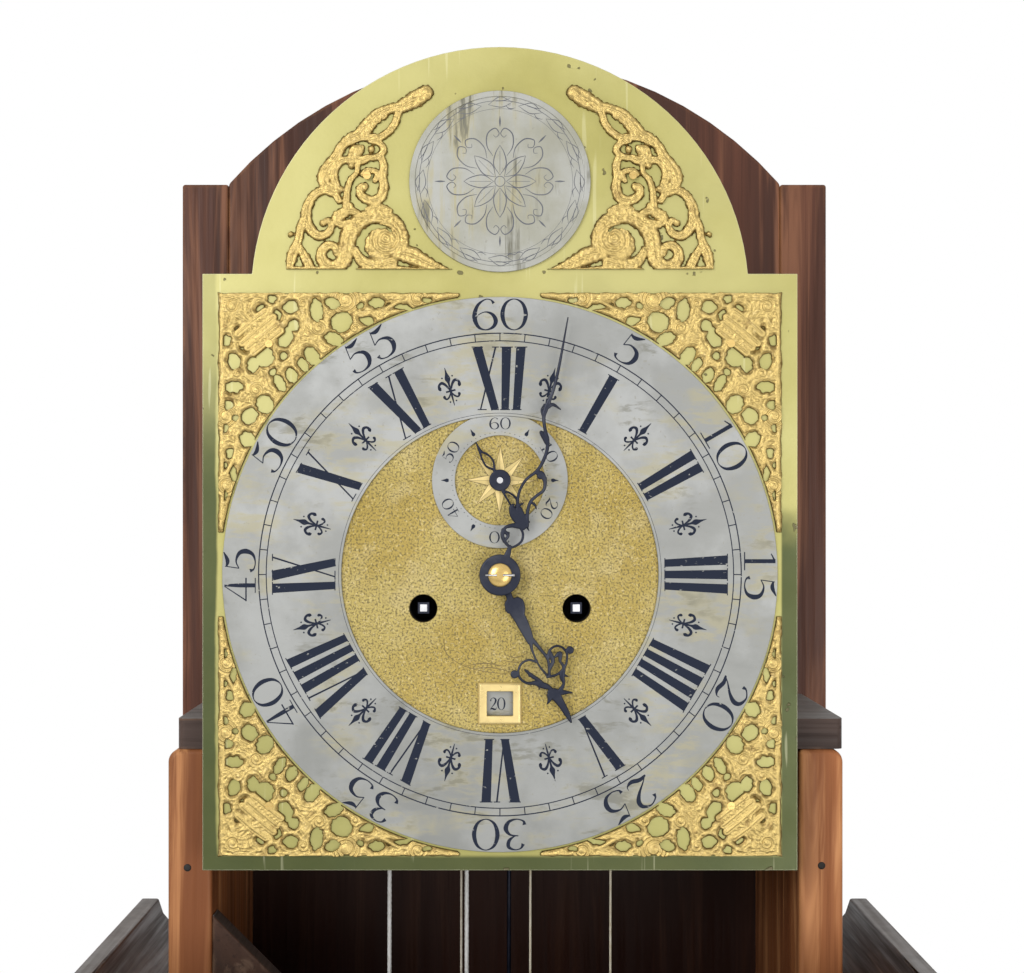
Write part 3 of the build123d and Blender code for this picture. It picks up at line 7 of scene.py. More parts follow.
import bmesh
import bpy
import numpy as np
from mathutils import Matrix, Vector


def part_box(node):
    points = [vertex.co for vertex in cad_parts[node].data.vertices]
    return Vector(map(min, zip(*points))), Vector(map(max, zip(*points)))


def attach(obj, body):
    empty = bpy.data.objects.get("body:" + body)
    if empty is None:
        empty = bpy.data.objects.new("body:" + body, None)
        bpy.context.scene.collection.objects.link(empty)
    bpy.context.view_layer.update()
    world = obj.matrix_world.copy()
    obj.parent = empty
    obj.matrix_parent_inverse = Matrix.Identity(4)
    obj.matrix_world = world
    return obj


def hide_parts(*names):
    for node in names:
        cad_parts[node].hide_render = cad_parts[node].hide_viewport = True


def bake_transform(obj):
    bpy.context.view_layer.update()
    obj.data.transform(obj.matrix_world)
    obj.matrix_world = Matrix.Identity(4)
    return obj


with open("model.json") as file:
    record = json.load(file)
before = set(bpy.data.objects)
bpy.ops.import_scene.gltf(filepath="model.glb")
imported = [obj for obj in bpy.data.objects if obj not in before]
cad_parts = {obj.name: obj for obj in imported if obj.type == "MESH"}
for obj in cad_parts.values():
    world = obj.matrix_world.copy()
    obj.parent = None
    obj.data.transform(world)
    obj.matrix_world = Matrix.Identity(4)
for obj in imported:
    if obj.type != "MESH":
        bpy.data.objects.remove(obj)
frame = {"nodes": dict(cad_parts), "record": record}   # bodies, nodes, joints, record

"""Looks of a longcase clock that stands without its hood.

Places on the dial are given in millimetres from the middle of the hands, X to the right and Z up.
Each sub-assembly is a class with a build method. Each finish is a frozen dataclass with a make
method that returns its node material.
"""

log = logging.getLogger("clock")

MM = 0.001
HAND_X, HAND_Z = -3.0, 1766.0
RING_FRONT, DIAL_FRONT = -91.5, -90.0
SECONDS_ABOVE, BOSS_ABOVE = 48.2, 201.2
FLOOR_HALF, FLOOR_Z = 6, -0.0005
SLOTS = {part["node"]: part["material_slot"] for part in frame["record"]["subparts"]}


class Grain(Enum):
    """The axis that the grain of a board lies along: X, Y or Z."""

    ACROSS = 0
    DEEP = 1
    UPRIGHT = 2


def polar(radius: float, degrees: float) -> tuple[float, float]:
    """The place at a radius, with the angle clockwise from the top, as on a clock."""
    angle = math.radians(degrees)
    return radius * math.sin(angle), radius * math.cos(angle)


# Finishes


class Nodes:
    """A short way to write a node tree."""

    def __init__(self, name: str) -> None:
        self.material = bpy.data.materials.get(name) or bpy.data.materials.new(name)
        self.material.use_nodes = True
        self.tree = self.material.node_tree
        self.tree.nodes.clear()
        self.shader = self.tree.nodes.new("ShaderNodeBsdfPrincipled")
        output = self.tree.nodes.new("ShaderNodeOutputMaterial")
        self.tree.links.new(self.shader.outputs[0], output.inputs["Surface"])
        self.coordinates = self.add("ShaderNodeTexCoord").outputs["Object"]

    def add(self, kind: str, inputs: dict | None = None, **settings):
        """Add a node.

        Args:
            kind: the node's type.
            inputs: values or sockets for its inputs, by name or number.
            settings: the node's own properties.

        Returns:
            The new node.
        """
        node = self.tree.nodes.new(kind)
        for key, value in settings.items():
            setattr(node, key, value)
        for key, value in (inputs or {}).items():
            self.feed(node.inputs[key], value)
        return node

    def feed(self, socket, value) -> None:
        """Link a socket to an input, or set the input's value."""
        if isinstance(value, bpy.types.NodeSocket):
            self.tree.links.new(value, socket)
        elif isinstance(value, tuple) and len(value) == 3 and socket.type == "RGBA":
            socket.default_value = (*value, 1)
        else:
            socket.default_value = value

    def noise(self, scale: float, detail: float = 4, stretch=(1, 1, 1), rough: float = 0.55,
              warp: float = 0):
        """Noise in object space.

        Args:
            scale: its scale.
            detail: its octaves.
            stretch: factors on X, Y and Z before the noise.
            rough: its roughness.
            warp: its distortion.

        Returns:
            The factor socket.
        """
        mapped = self.add("ShaderNodeMapping", {"Vector": self.coordinates, "Scale": stretch})
        node = self.add("ShaderNodeTexNoise", {"Vector": mapped.outputs[0], "Scale": scale, "Detail": detail,
                                               "Roughness": rough, "Distortion": warp})
        return node.outputs[0]

    def ramp(self, factor, low: float, high: float, start: float = 0.0, end: float = 1.0):
        """A smooth step of a factor between two values."""
        limits = {"Value": factor, "From Min": low, "From Max": high, "To Min": start, "To Max": end}
        return self.add("ShaderNodeMapRange", limits, interpolation_type="SMOOTHSTEP").outputs[0]

    def mix(self, factor, first, second):
        """Mix two colours."""
        node = self.add("ShaderNodeMix", data_type="RGBA")
        self.feed(node.inputs["Factor"], factor)
        self.feed(node.inputs[6], first)
        self.feed(node.inputs[7], second)
        return node.outputs[2]

    def maths(self, operation: str, first, second=0.0):
        """One step of arithmetic."""
        return self.add("ShaderNodeMath", {0: first, 1: second}, operation=operation).outputs[0]

    def axis(self, name: str):
        """X, Y or Z of the place on the object, in metres."""
        return self.add("ShaderNodeSeparateXYZ", {0: self.coordinates}).outputs[name]

    def upward(self):
        """How far the surface faces up, from 0 to 1."""
        normal = self.add("ShaderNodeNewGeometry").outputs["Normal"]
        return self.ramp(self.add("ShaderNodeSeparateXYZ", {0: normal}).outputs["Z"], 0.6, 0.95)

    def edges(self, radius: float = 0.0025, high: float = 0.12):
        """Where the surface is within a radius of an edge, from 0 to 1."""
        rounded = self.add("ShaderNodeBevel", {"Radius": radius}, samples=4).outputs[0]
        normal = self.add("ShaderNodeNewGeometry").outputs["Normal"]
        same = self.add("ShaderNodeVectorMath", {0: rounded, 1: normal}, operation="DOT_PRODUCT")
        return self.ramp(same.outputs["Value"], 1 - high, 1.0, 1, 0)

    def finish(self, colour, rough, metallic: float = 0.0, bump=None, strength: float = 0.2,
               distance: float = 0.0005, **extra):
        """Set the shader's inputs.

        Args:
            colour: base colour, a socket or three numbers.
            rough: roughness, a socket or a number.
            metallic: metallic.
            bump: a height socket.
            strength: the bump's strength.
            distance: the bump's distance in metres.
            extra: further inputs by name, with _ for a space.

        Returns:
            The material.
        """
        self.feed(self.shader.inputs["Base Color"], colour)
        self.feed(self.shader.inputs["Roughness"], rough)
        self.feed(self.shader.inputs["Metallic"], metallic)
        for key, value in extra.items():
            self.feed(self.shader.inputs[key.replace("_", " ")], value)
        if bump is not None:
            node = self.add("ShaderNodeBump", {"Height": bump, "Strength": strength, "Distance": distance})
            self.tree.links.new(node.outputs[0], self.shader.inputs["Normal"])
        return self.material


@dataclass(frozen=True)
class Wood:
    """Old stained pine.

    Args:
        name: the slot's name.
        dark, middle, light: three colours of the grain.
        worn: colour of the rubbed edges.
        along: the way its grain runs.
        dust: share of grey dust on faces that look up.
        gloss: roughness.
        wear: strength of the rubbed edges.
        inner: height below which the board is painted darker, a painted shade under the seatboard and dial,
            in metres.
    """

    name: str
    dark: tuple
    middle: tuple
    light: tuple
    worn: tuple = (0.42, 0.19, 0.07)
    along: Grain = Grain.UPRIGHT
    dust: float = 0.0
    gloss: float = 0.5
    wear: float = 0.6
    inner: float = 0.0

    def make(self):
        """The material."""
        n = Nodes(self.name)
        stretch = [1.0, 1.0, 1.0]
        stretch[self.along.value] = 0.06
        broad = n.noise(16, 5, tuple(stretch), 0.6, 0.6)
        stretch[self.along.value] = 0.02
        fine = n.noise(330, 3, tuple(stretch), 0.7)
        stretch[self.along.value] = 0.045
        bands = n.noise(62, 4, tuple(stretch), 0.6, 0.9)
        patches = n.noise(7, 4, (1, 1, 0.7), 0.6, 0.4)
        colour = n.mix(n.ramp(broad, 0.36, 0.64), self.dark, self.middle)
        colour = n.mix(n.ramp(bands, 0.5, 0.68), colour, self.light)
        colour = n.mix(n.maths("MULTIPLY", n.ramp(fine, 0.52, 0.68), 0.6), colour, self.dark)
        colour = n.mix(n.maths("MULTIPLY", n.ramp(patches, 0.5, 0.72), 0.45), colour, self.dark)
        rubbed = n.maths("MULTIPLY", n.edges(), n.ramp(n.noise(45, 4), 0.38, 0.6))
        colour = n.mix(n.maths("MULTIPLY", rubbed, self.wear), colour, self.worn)
        # painted shade: below the height inner the board is mixed towards near black, for the shade under
        # the seatboard and dial
        if self.inner:
            low = n.ramp(n.axis("Z"), self.inner - 0.04, self.inner, 0.85, 0)
            colour = n.mix(low, colour, (0.016, 0.004, 0.002))
        if self.dust:
            grey = n.mix(n.noise(90, 5), (0.12, 0.11, 0.105), (0.27, 0.255, 0.24))
            amount = n.maths("MULTIPLY", n.upward(), n.ramp(n.noise(25, 5), 0.25, 0.6, 0.45, 1))
            colour = n.mix(n.maths("MULTIPLY", amount, self.dust), colour, grey)
        height = n.maths("ADD", n.maths("MULTIPLY", fine, 0.6), n.maths("MULTIPLY", bands, 0.5))
        rough = n.ramp(fine, 0.3, 0.7, self.gloss - 0.08, self.gloss + 0.15)
        return n.finish(colour, rough, 0, height, 0.35, 0.0006, Specular_IOR_Level=0.22)


@dataclass(frozen=True)
class Metal:
    """A plain metal with soft stains.

    Args:
        name: the slot's name.
        base, stain: its colours.
        rough: roughness.
        stains: share of the stain colour.
        grain: depth of fine scratches.
        metallic: metallic share.
    """

    name: str
    base: tuple
    stain: tuple
    rough: float = 0.3
    stains: float = 0.5
    grain: float = 0.05
    metallic: float = 1.0

    def make(self):
        """The material."""
        n = Nodes(self.name)
        cloud = n.ramp(n.noise(38, 6, rough=0.65), 0.42, 0.7)
        colour = n.mix(n.maths("MULTIPLY", cloud, self.stains), self.base, self.stain)
        rough = n.ramp(n.noise(120, 5), 0.3, 0.7, self.rough - 0.06, self.rough + 0.12)
        return n.finish(colour, rough, self.metallic, n.noise(900, 3), self.grain, 0.0003)


@dataclass(frozen=True)
class Gilt:
    """Cast and gilt brass; the hollows of the relief are painted darker, a painted shade, by the height
    stored on the mesh.
    """

    name: str = "gilt_brass"

    def make(self):
        """The material."""
        n = Nodes(self.name)
        height = n.add("ShaderNodeAttribute", attribute_name="relief").outputs["Fac"]
        grain = n.noise(420, 6, rough=0.7)
        # painted shade: the low parts of the relief are mixed towards dark brown, by the height stored on
        # the mesh
        low = n.mix(n.ramp(n.noise(55, 4), 0.4, 0.6), (0.085, 0.050, 0.010), (0.165, 0.106, 0.025))
        colour = n.mix(n.ramp(height, 0.08, 0.62), low, (0.47, 0.345, 0.122))
        colour = n.mix(n.ramp(grain, 0.52, 0.75, 0, 0.5), colour, (0.76, 0.60, 0.29))
        grime = n.maths("MULTIPLY", n.ramp(n.noise(150, 4), 0.6, 0.7), 0.5)
        colour = n.mix(grime, colour, (0.13, 0.07, 0.02))
        return n.finish(colour, n.ramp(grain, 0.3, 0.7, 0.26, 0.42), 0.85, grain, 0.5, 0.0008)


@dataclass(frozen=True)
class DialBrass:
    """The dial plate: pale brass with a painted olive reflection along the left, right and bottom margins,
    matted in the middle.

    Args:
        name: the slot's name.
        matted: radius of the matted ground, in metres.
    """

    name: str = "dial_brass"
    matted: float = 0.0815

    def make(self):
        """The material."""
        n = Nodes(self.name)
        across = n.maths("SUBTRACT", n.axis("X"), HAND_X * MM)
        above = n.maths("SUBTRACT", n.axis("Z"), HAND_Z * MM)
        wander = n.maths("MULTIPLY", n.maths("SUBTRACT", n.noise(14, 4), 0.5), 0.03)
        ragged = n.maths("ADD", above, n.maths("MULTIPLY", wander, 2.5))
        # painted reflection: the left, right and bottom margins are mixed towards dark olive, for the darker
        # room reflected in the plate
        left = n.maths("MULTIPLY", n.ramp(n.maths("ADD", across, n.maths("MULTIPLY", wander, 0.2)),
                                          -0.1462, -0.1444, 1, 0), n.ramp(ragged, 0.055, 0.125, 1, 0.25))
        right = n.maths("MULTIPLY", n.ramp(across, 0.1437, 0.145), n.ramp(ragged, 0.005, 0.035, 1, 0))
        bottom = n.ramp(n.maths("ADD", above, n.maths("MULTIPLY", wander, 0.1)), -0.1455, -0.143, 1, 0)
        reflection_mask = n.maths("MAXIMUM", n.maths("MAXIMUM", left, right), bottom)
        plate = n.mix(n.ramp(n.noise(9, 5), 0.35, 0.65), (0.395, 0.358, 0.108), (0.475, 0.437, 0.165))
        # painted reflection: the plate is painted darker towards the bottom, for the darker lower room
        # reflected in it
        lower = n.ramp(above, -0.14, 0.10, 0.6, 0)
        plate = n.mix(n.maths("MULTIPLY", lower, n.ramp(n.noise(30, 5), 0.3, 0.6, 0.6, 1)), plate,
                      (0.30, 0.285, 0.085))
        # olive: colours of the painted reflection on the margins
        olive = n.mix(n.noise(26, 5), (0.036, 0.053, 0.009), (0.086, 0.095, 0.022))
        colour = n.mix(reflection_mask, plate, olive)
        pits = n.ramp(n.noise(170, 2, rough=0.4), 0.735, 0.76)
        colour = n.mix(n.maths("MULTIPLY", pits, 0.8), colour, (0.09, 0.075, 0.03))
        scratch = n.ramp(n.noise(260, 2, (1, 1, 0.05)), 0.66, 0.72)
        colour = n.mix(n.maths("MULTIPLY", scratch, 0.18), colour, (0.85, 0.82, 0.55))
        # painted highlight: a pale line along the plate's edges, for the light caught by the bevel
        colour = n.mix(n.maths("MULTIPLY", n.edges(0.0006), 0.8), colour, (0.80, 0.79, 0.56))
        radius = n.maths("SQRT", n.maths("ADD", n.maths("MULTIPLY", across, across),
                                         n.maths("MULTIPLY", above, above)))
        inside = n.ramp(radius, self.matted - 0.0004, self.matted, 1, 0)
        coarse = n.noise(900, 3, rough=0.7)
        speck = n.ramp(coarse, 0.49, 0.585)
        patch = n.ramp(n.noise(22, 4), 0.35, 0.65)
        gold = n.mix(patch, (0.40, 0.29, 0.062), (0.46, 0.36, 0.11))
        worn = n.ramp(n.noise(48, 5), 0.5, 0.68)
        gold = n.mix(n.maths("MULTIPLY", worn, 0.55), gold, (0.52, 0.42, 0.185))
        matte = n.mix(n.maths("MULTIPLY", speck, 0.8), gold, (0.11, 0.087, 0.034))
        light = n.ramp(n.noise(760, 3), 0.58, 0.68)
        matte = n.mix(n.maths("MULTIPLY", light, 0.4), matte, (0.76, 0.63, 0.33))
        colour = n.mix(inside, colour, matte)
        height = n.maths("MULTIPLY", inside, coarse)
        height = n.maths("SUBTRACT", n.maths("ADD", height, n.maths("MULTIPLY", n.noise(500, 3), 0.07)),
                         n.maths("MULTIPLY", pits, 0.5))
        polish = n.ramp(n.noise(35, 4), 0.3, 0.7, 0.30, 0.46)
        rough = n.maths("ADD", polish, n.maths("MULTIPLY", inside, 0.1))
        return n.finish(colour, rough, 0.35, height, 0.9, 0.0006)


@dataclass(frozen=True)
class Silvered:
    """Silvered brass, rubbed through in streaks.

    Args:
        name: the material's name.
        stretch: factors on X, Y and Z that give the streaks their direction.
        rubbed: share of the rubbed patches.
        base: colour of the silvering.
    """

    name: str
    stretch: tuple = (0.3, 1, 1)
    rubbed: float = 0.6
    base: tuple = (0.27, 0.273, 0.26)

    def make(self):
        """The material."""
        n = Nodes(self.name)
        streak = n.noise(170, 5, self.stretch, 0.65, 0.3)
        place = n.ramp(n.noise(21, 5), 0.45, 0.6)
        cloud = n.ramp(n.noise(30, 5), 0.4, 0.66)
        colour = n.mix(n.maths("MULTIPLY", cloud, 0.55), self.base, (0.43, 0.435, 0.43))
        # painted shading: the silvering is mixed darker towards the bottom, by height alone
        low = n.ramp(n.axis("Z"), 1.60, 1.86, 0.4, 0)
        colour = n.mix(low, colour, (0.17, 0.175, 0.16))
        patch = n.maths("MULTIPLY", place, n.ramp(streak, 0.42, 0.62))
        colour = n.mix(n.maths("MULTIPLY", patch, self.rubbed), colour, (0.36, 0.325, 0.195))
        dark = n.maths("MULTIPLY", n.ramp(n.noise(27, 4), 0.5, 0.62), n.ramp(streak, 0.52, 0.64))
        colour = n.mix(n.maths("MULTIPLY", dark, self.rubbed), colour, (0.15, 0.145, 0.11))
        specks = n.ramp(n.noise(420, 2), 0.68, 0.74)
        colour = n.mix(n.maths("MULTIPLY", specks, 0.5), colour, (0.25, 0.24, 0.2))
        rough = n.ramp(streak, 0.3, 0.7, 0.36, 0.52)
        return n.finish(colour, rough, 0.45, streak, 0.12, 0.0003)


@dataclass(frozen=True)
class Ink:
    """Black wax in the engraved figures, chipped here and there."""

    name: str = "numeral_wax"

    def make(self):
        """The material."""
        n = Nodes(self.name)
        chips = n.ramp(n.noise(520, 4, (0.6, 1, 1), 0.6), 0.66, 0.71)
        colour = n.mix(chips, (0.012, 0.017, 0.034), (0.30, 0.30, 0.28))
        return n.finish(colour, 0.6, 0, Specular_IOR_Level=0.15)


@dataclass(frozen=True)
class Thread:
    """Twisted cord or gut.

    Args:
        name: the slot's name.
        pale, dark: its colours.
    """

    name: str
    pale: tuple
    dark: tuple

    def make(self):
        """The material."""
        n = Nodes(self.name)
        colour = n.mix(n.ramp(n.noise(700, 3, (1, 1, 0.3)), 0.4, 0.65), self.pale, self.dark)
        return n.finish(colour, 0.75, 0, n.noise(1600, 3), 0.4, 0.0002)


FINISHES = (
    # red_pine is painted near black below 1.665 m, a painted shade under the seatboard and dial
    Wood("red_pine", (0.055, 0.020, 0.012), (0.165, 0.056, 0.030), (0.25, 0.105, 0.055), (0.42, 0.19, 0.08),
         gloss=0.42, inner=1.665),
    Wood("orange_pine", (0.20, 0.065, 0.022), (0.43, 0.155, 0.052), (0.56, 0.25, 0.10),
         (0.62, 0.33, 0.13), wear=0.95),
    Wood("dark_seat", (0.026, 0.016, 0.013), (0.075, 0.048, 0.039), (0.135, 0.098, 0.08),
         (0.26, 0.14, 0.08), along=Grain.ACROSS, dust=0.9),
    Wood("dark_rail", (0.022, 0.011, 0.007), (0.075, 0.034, 0.02), (0.12, 0.07, 0.045), (0.28, 0.17, 0.10),
         along=Grain.DEEP, dust=0.95),
    Wood("case_wood", (0.028, 0.010, 0.005), (0.095, 0.032, 0.013), (0.155, 0.062, 0.026),
         (0.30, 0.13, 0.05), gloss=0.33, dust=0.25, wear=0.45),
    Gilt(),
    DialBrass(),
    Silvered("silvered_brass"),
    Metal("brass", (0.66, 0.47, 0.17), (0.42, 0.27, 0.10), 0.28, 0.45),
    Metal("bell_metal", (0.52, 0.40, 0.19), (0.25, 0.19, 0.11), 0.36, 0.7),
    Metal("pendulum_brass", (0.68, 0.47, 0.18), (0.40, 0.26, 0.10), 0.26, 0.4),
    Metal("weight_brass", (0.66, 0.46, 0.17), (0.36, 0.23, 0.09), 0.24, 0.5),
    Metal("steel", (0.47, 0.47, 0.48), (0.22, 0.19, 0.17), 0.33, 0.45),
    Metal("blued_steel", (0.010, 0.013, 0.027), (0.09, 0.095, 0.11), 0.38, 0.35, 0.12, 0.6),
    Thread("white_cord", (0.95, 0.95, 0.93), (0.80, 0.79, 0.75)),
    Thread("gut", (0.90, 0.84, 0.68), (0.72, 0.63, 0.45)),
    Thread("cream_cord", (0.90, 0.84, 0.70), (0.70, 0.62, 0.48)),
)
EXTRA_FINISHES = (
    Ink(),
    Silvered("boss_silver", (1, 1, 0.09), 1.0, (0.30, 0.295, 0.24)),
    Metal("boss_line", (0.075, 0.08, 0.1), (0.2, 0.2, 0.2), 0.5, 0.5, 0.05, 0.1),
    Metal("star_brass", (0.72, 0.56, 0.24), (0.58, 0.42, 0.16), 0.3, 0.3, 0.05, 0.5),
    # bright steel for the painted highlight on the ends of the winding squares
    Metal("painted_highlight_steel", (0.80, 0.80, 0.82), (0.5, 0.5, 0.5), 0.25, 0.3, 0.05, 0.6),
    # star_shade: darker copy of star_brass, the painted shade on alternate facets of the star
    Metal("star_shade", (0.58, 0.45, 0.18), (0.46, 0.34, 0.13), 0.35, 0.3, 0.05, 0.4),
    Metal("line_brass", (0.15, 0.105, 0.035), (0.25, 0.18, 0.06), 0.5, 0.5, 0.05, 0.2),
    # near black, for the iron nails and for the painted shade lining the winding holes
    Metal("dark_iron_and_shade", (0.010, 0.008, 0.007), (0.02, 0.015, 0.01), 0.7, 0.5, 0.05, 0.2),
)


# Shapes


def mesh_object(name: str, verts, faces, material: str, body: str, smooth: bool = True):
    """Make a mesh object that rides a body.

    Args:
        name: its name.
        verts: points in metres.
        faces: lists of vertex numbers.
        material: the material's name.
        body: the CAD body that carries it.
        smooth: shade smooth.

    Returns:
        The object.
    """
    data = bpy.data.meshes.new(name)
    data.from_pydata([tuple(map(float, v)) for v in verts], [], [tuple(map(int, f)) for f in faces])
    data.validate()
    data.shade_smooth() if smooth else data.shade_flat()
    obj = bpy.data.objects.new(name, data)
    bpy.context.scene.collection.objects.link(obj)
    data.materials.append(bpy.data.materials[material])
    if body:
        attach(obj, body)
    log.info("%s: %d vertices", name, len(data.vertices))
    return obj


def band_faces(rings: int, sides: int) -> list:
    """The faces between rings of points that follow each other, each with as many points as sides."""
    return [(sides * (k - 1) + j, sides * (k - 1) + (j + 1) % sides, sides * k + (j + 1) % sides,
             sides * k + j) for k in range(1, rings) for j in range(sides)]


def softened(node: str, width: float, body: str, segments: int = 2, name: str = ""):
    """A copy of a CAD node with its edges eased, which takes the node's place.

    Args:
        node: the CAD node.
        width: width of the eased edge, in millimetres.
        body: the body that carries it.
        segments: segments across the eased edge.
        name: the new object's name.

    Returns:
        The new object.
    """
    source = frame["nodes"][node]
    data = source.data.copy()
    obj = bpy.data.objects.new(name or node + "_eased", data)
    bpy.context.scene.collection.objects.link(obj)
    obj.matrix_world = source.matrix_world.copy()
    work = bmesh.new()
    work.from_mesh(data)
    bmesh.ops.remove_doubles(work, verts=work.verts, dist=0.00001)
    bmesh.ops.dissolve_limit(work, angle_limit=math.radians(0.5), verts=work.verts, edges=work.edges)
    work.to_mesh(data)
    work.free()
    ease = obj.modifiers.new("ease", "BEVEL")
    ease.width = width * MM
    ease.segments = segments
    ease.limit_method = "ANGLE"
    ease.angle_limit = math.radians(35)
    ease.harden_normals = False
    data.shade_smooth()
    flat = obj.modifiers.new("normals", "WEIGHTED_NORMAL")
    flat.keep_sharp = True
    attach(obj, body)
    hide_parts(node)
    log.info("%s eased by %.1f mm", node, width)
    return obj


# Places on one casting of each kind, in millimetres from the middle of the hands; the others mirror it.
CORNER_HOLES = (
    (116.7, 141.2, 1.7, 1.5, 0), (107.1, 136.9, 3.1, 2.6, 0), (93.9, 135.3, 2.6, 4.9, -5),
    (122.3, 135.9, 2.0, 1.8, 0), (114.6, 131.2, 1.7, 3.6, 15), (105.8, 127.4, 2.3, 2.3, 0),
    (85.6, 138.9, 3.3, 2.3, 20), (63.1, 139.2, 3.3, 2.0, 0), (81.1, 129.3, 4.6, 4.3, -30),
    (109.9, 121.6, 3.1, 4.3, 20), (85.0, 120.6, 4.1, 2.6, 25), (50.5, 137.3, 4.6, 1.0, 12),
    (68.3, 130.2, 3.1, 1.9, 25), (96.1, 111.8, 2.8, 4.3, -35), (130.1, 116.1, 2.8, 1.9, 10),
    (140.1, 119.7, 1.8, 2.2, 0), (133.9, 124.5, 1.5, 2.2, -15), (120.5, 111.4, 3.8, 4.3, -20),
    (110.9, 112.0, 1.5, 1.5, 0), (136.2, 109.2, 2.6, 3.5, -10), (126.5, 107.3, 2.4, 3.1, 0),
    (100.9, 107.5, 1.9, 3.1, -35), (106.7, 101.8, 2.3, 3.3, -30), (112.8, 98.0, 1.9, 4.1, -30),
    (136.5, 96.0, 4.0, 2.2, -5), (120.4, 87.1, 3.5, 4.1, -35), (139.3, 86.8, 2.0, 1.9, 0),
    (135.5, 80.1, 1.2, 1.2, 0), (128.2, 81.1, 3.6, 3.1, -40), (140.8, 74.9, 1.5, 1.5, 0),
    (129.4, 69.2, 3.1, 3.3, -35), (138.3, 62.2, 1.4, 1.9, 0), (141.6, 56.0, 1.5, 1.5, 0),
    (136.7, 51.9, 1.4, 3.6, -10), (71.5, 137.6, 1.2, 1.3, 0), (56.8, 137.6, 1.2, 1.0, 0),
    (37.7, 140.4, 2.3, 0.9, 8), (141.1, 41.1, 1.3, 2.0, 0), (116.3, 103.7, 1.3, 1.5, -20),
)
CORNER_BEADS = (
    (78.8, 140.5, 3.7), (140.3, 81.0, 3.1), (139.9, 45.3, 2.6), (41.9, 141.2, 2.3), (136.7, 137.3, 2.2),
    (92.6, 126.3, 1.8), (124.6, 94.5, 1.9), (100.9, 138.9, 1.3), (134.2, 103.1, 1.3), (74.1, 126.1, 1.2),
    (118.8, 77.5, 1.2),
)
CORNER_BARS = (
    ((134.2, 123.3), (127.1, 129.7), (119.9, 134.8)),
    ((131.9, 118.4), (124.0, 125.4), (116.0, 131.7)),
    ((129.1, 116.1), (121.4, 122.5), (114.2, 128.4)),
    ((126.3, 113.5), (119.1, 119.4), (112.2, 124.8)),
    ((142.5, 143.3), (115.0, 144.2), (92.0, 143.5), (71.5, 144.2), (44.7, 142.9), (21.7, 143.2)),
    ((142.1, 142.7), (142.6, 118.4), (141.6, 95.4), (142.6, 72.4), (142.1, 44.3), (142.6, 23.8)),
    ((76.7, 135.7), (71.5, 132.5), (61.3, 134.4), (52.4, 139.5), (42.1, 141.4)),
    ((136.7, 77.5), (134.2, 68.6), (136.1, 59.6), (139.9, 51.9), (140.6, 45.5)),
)
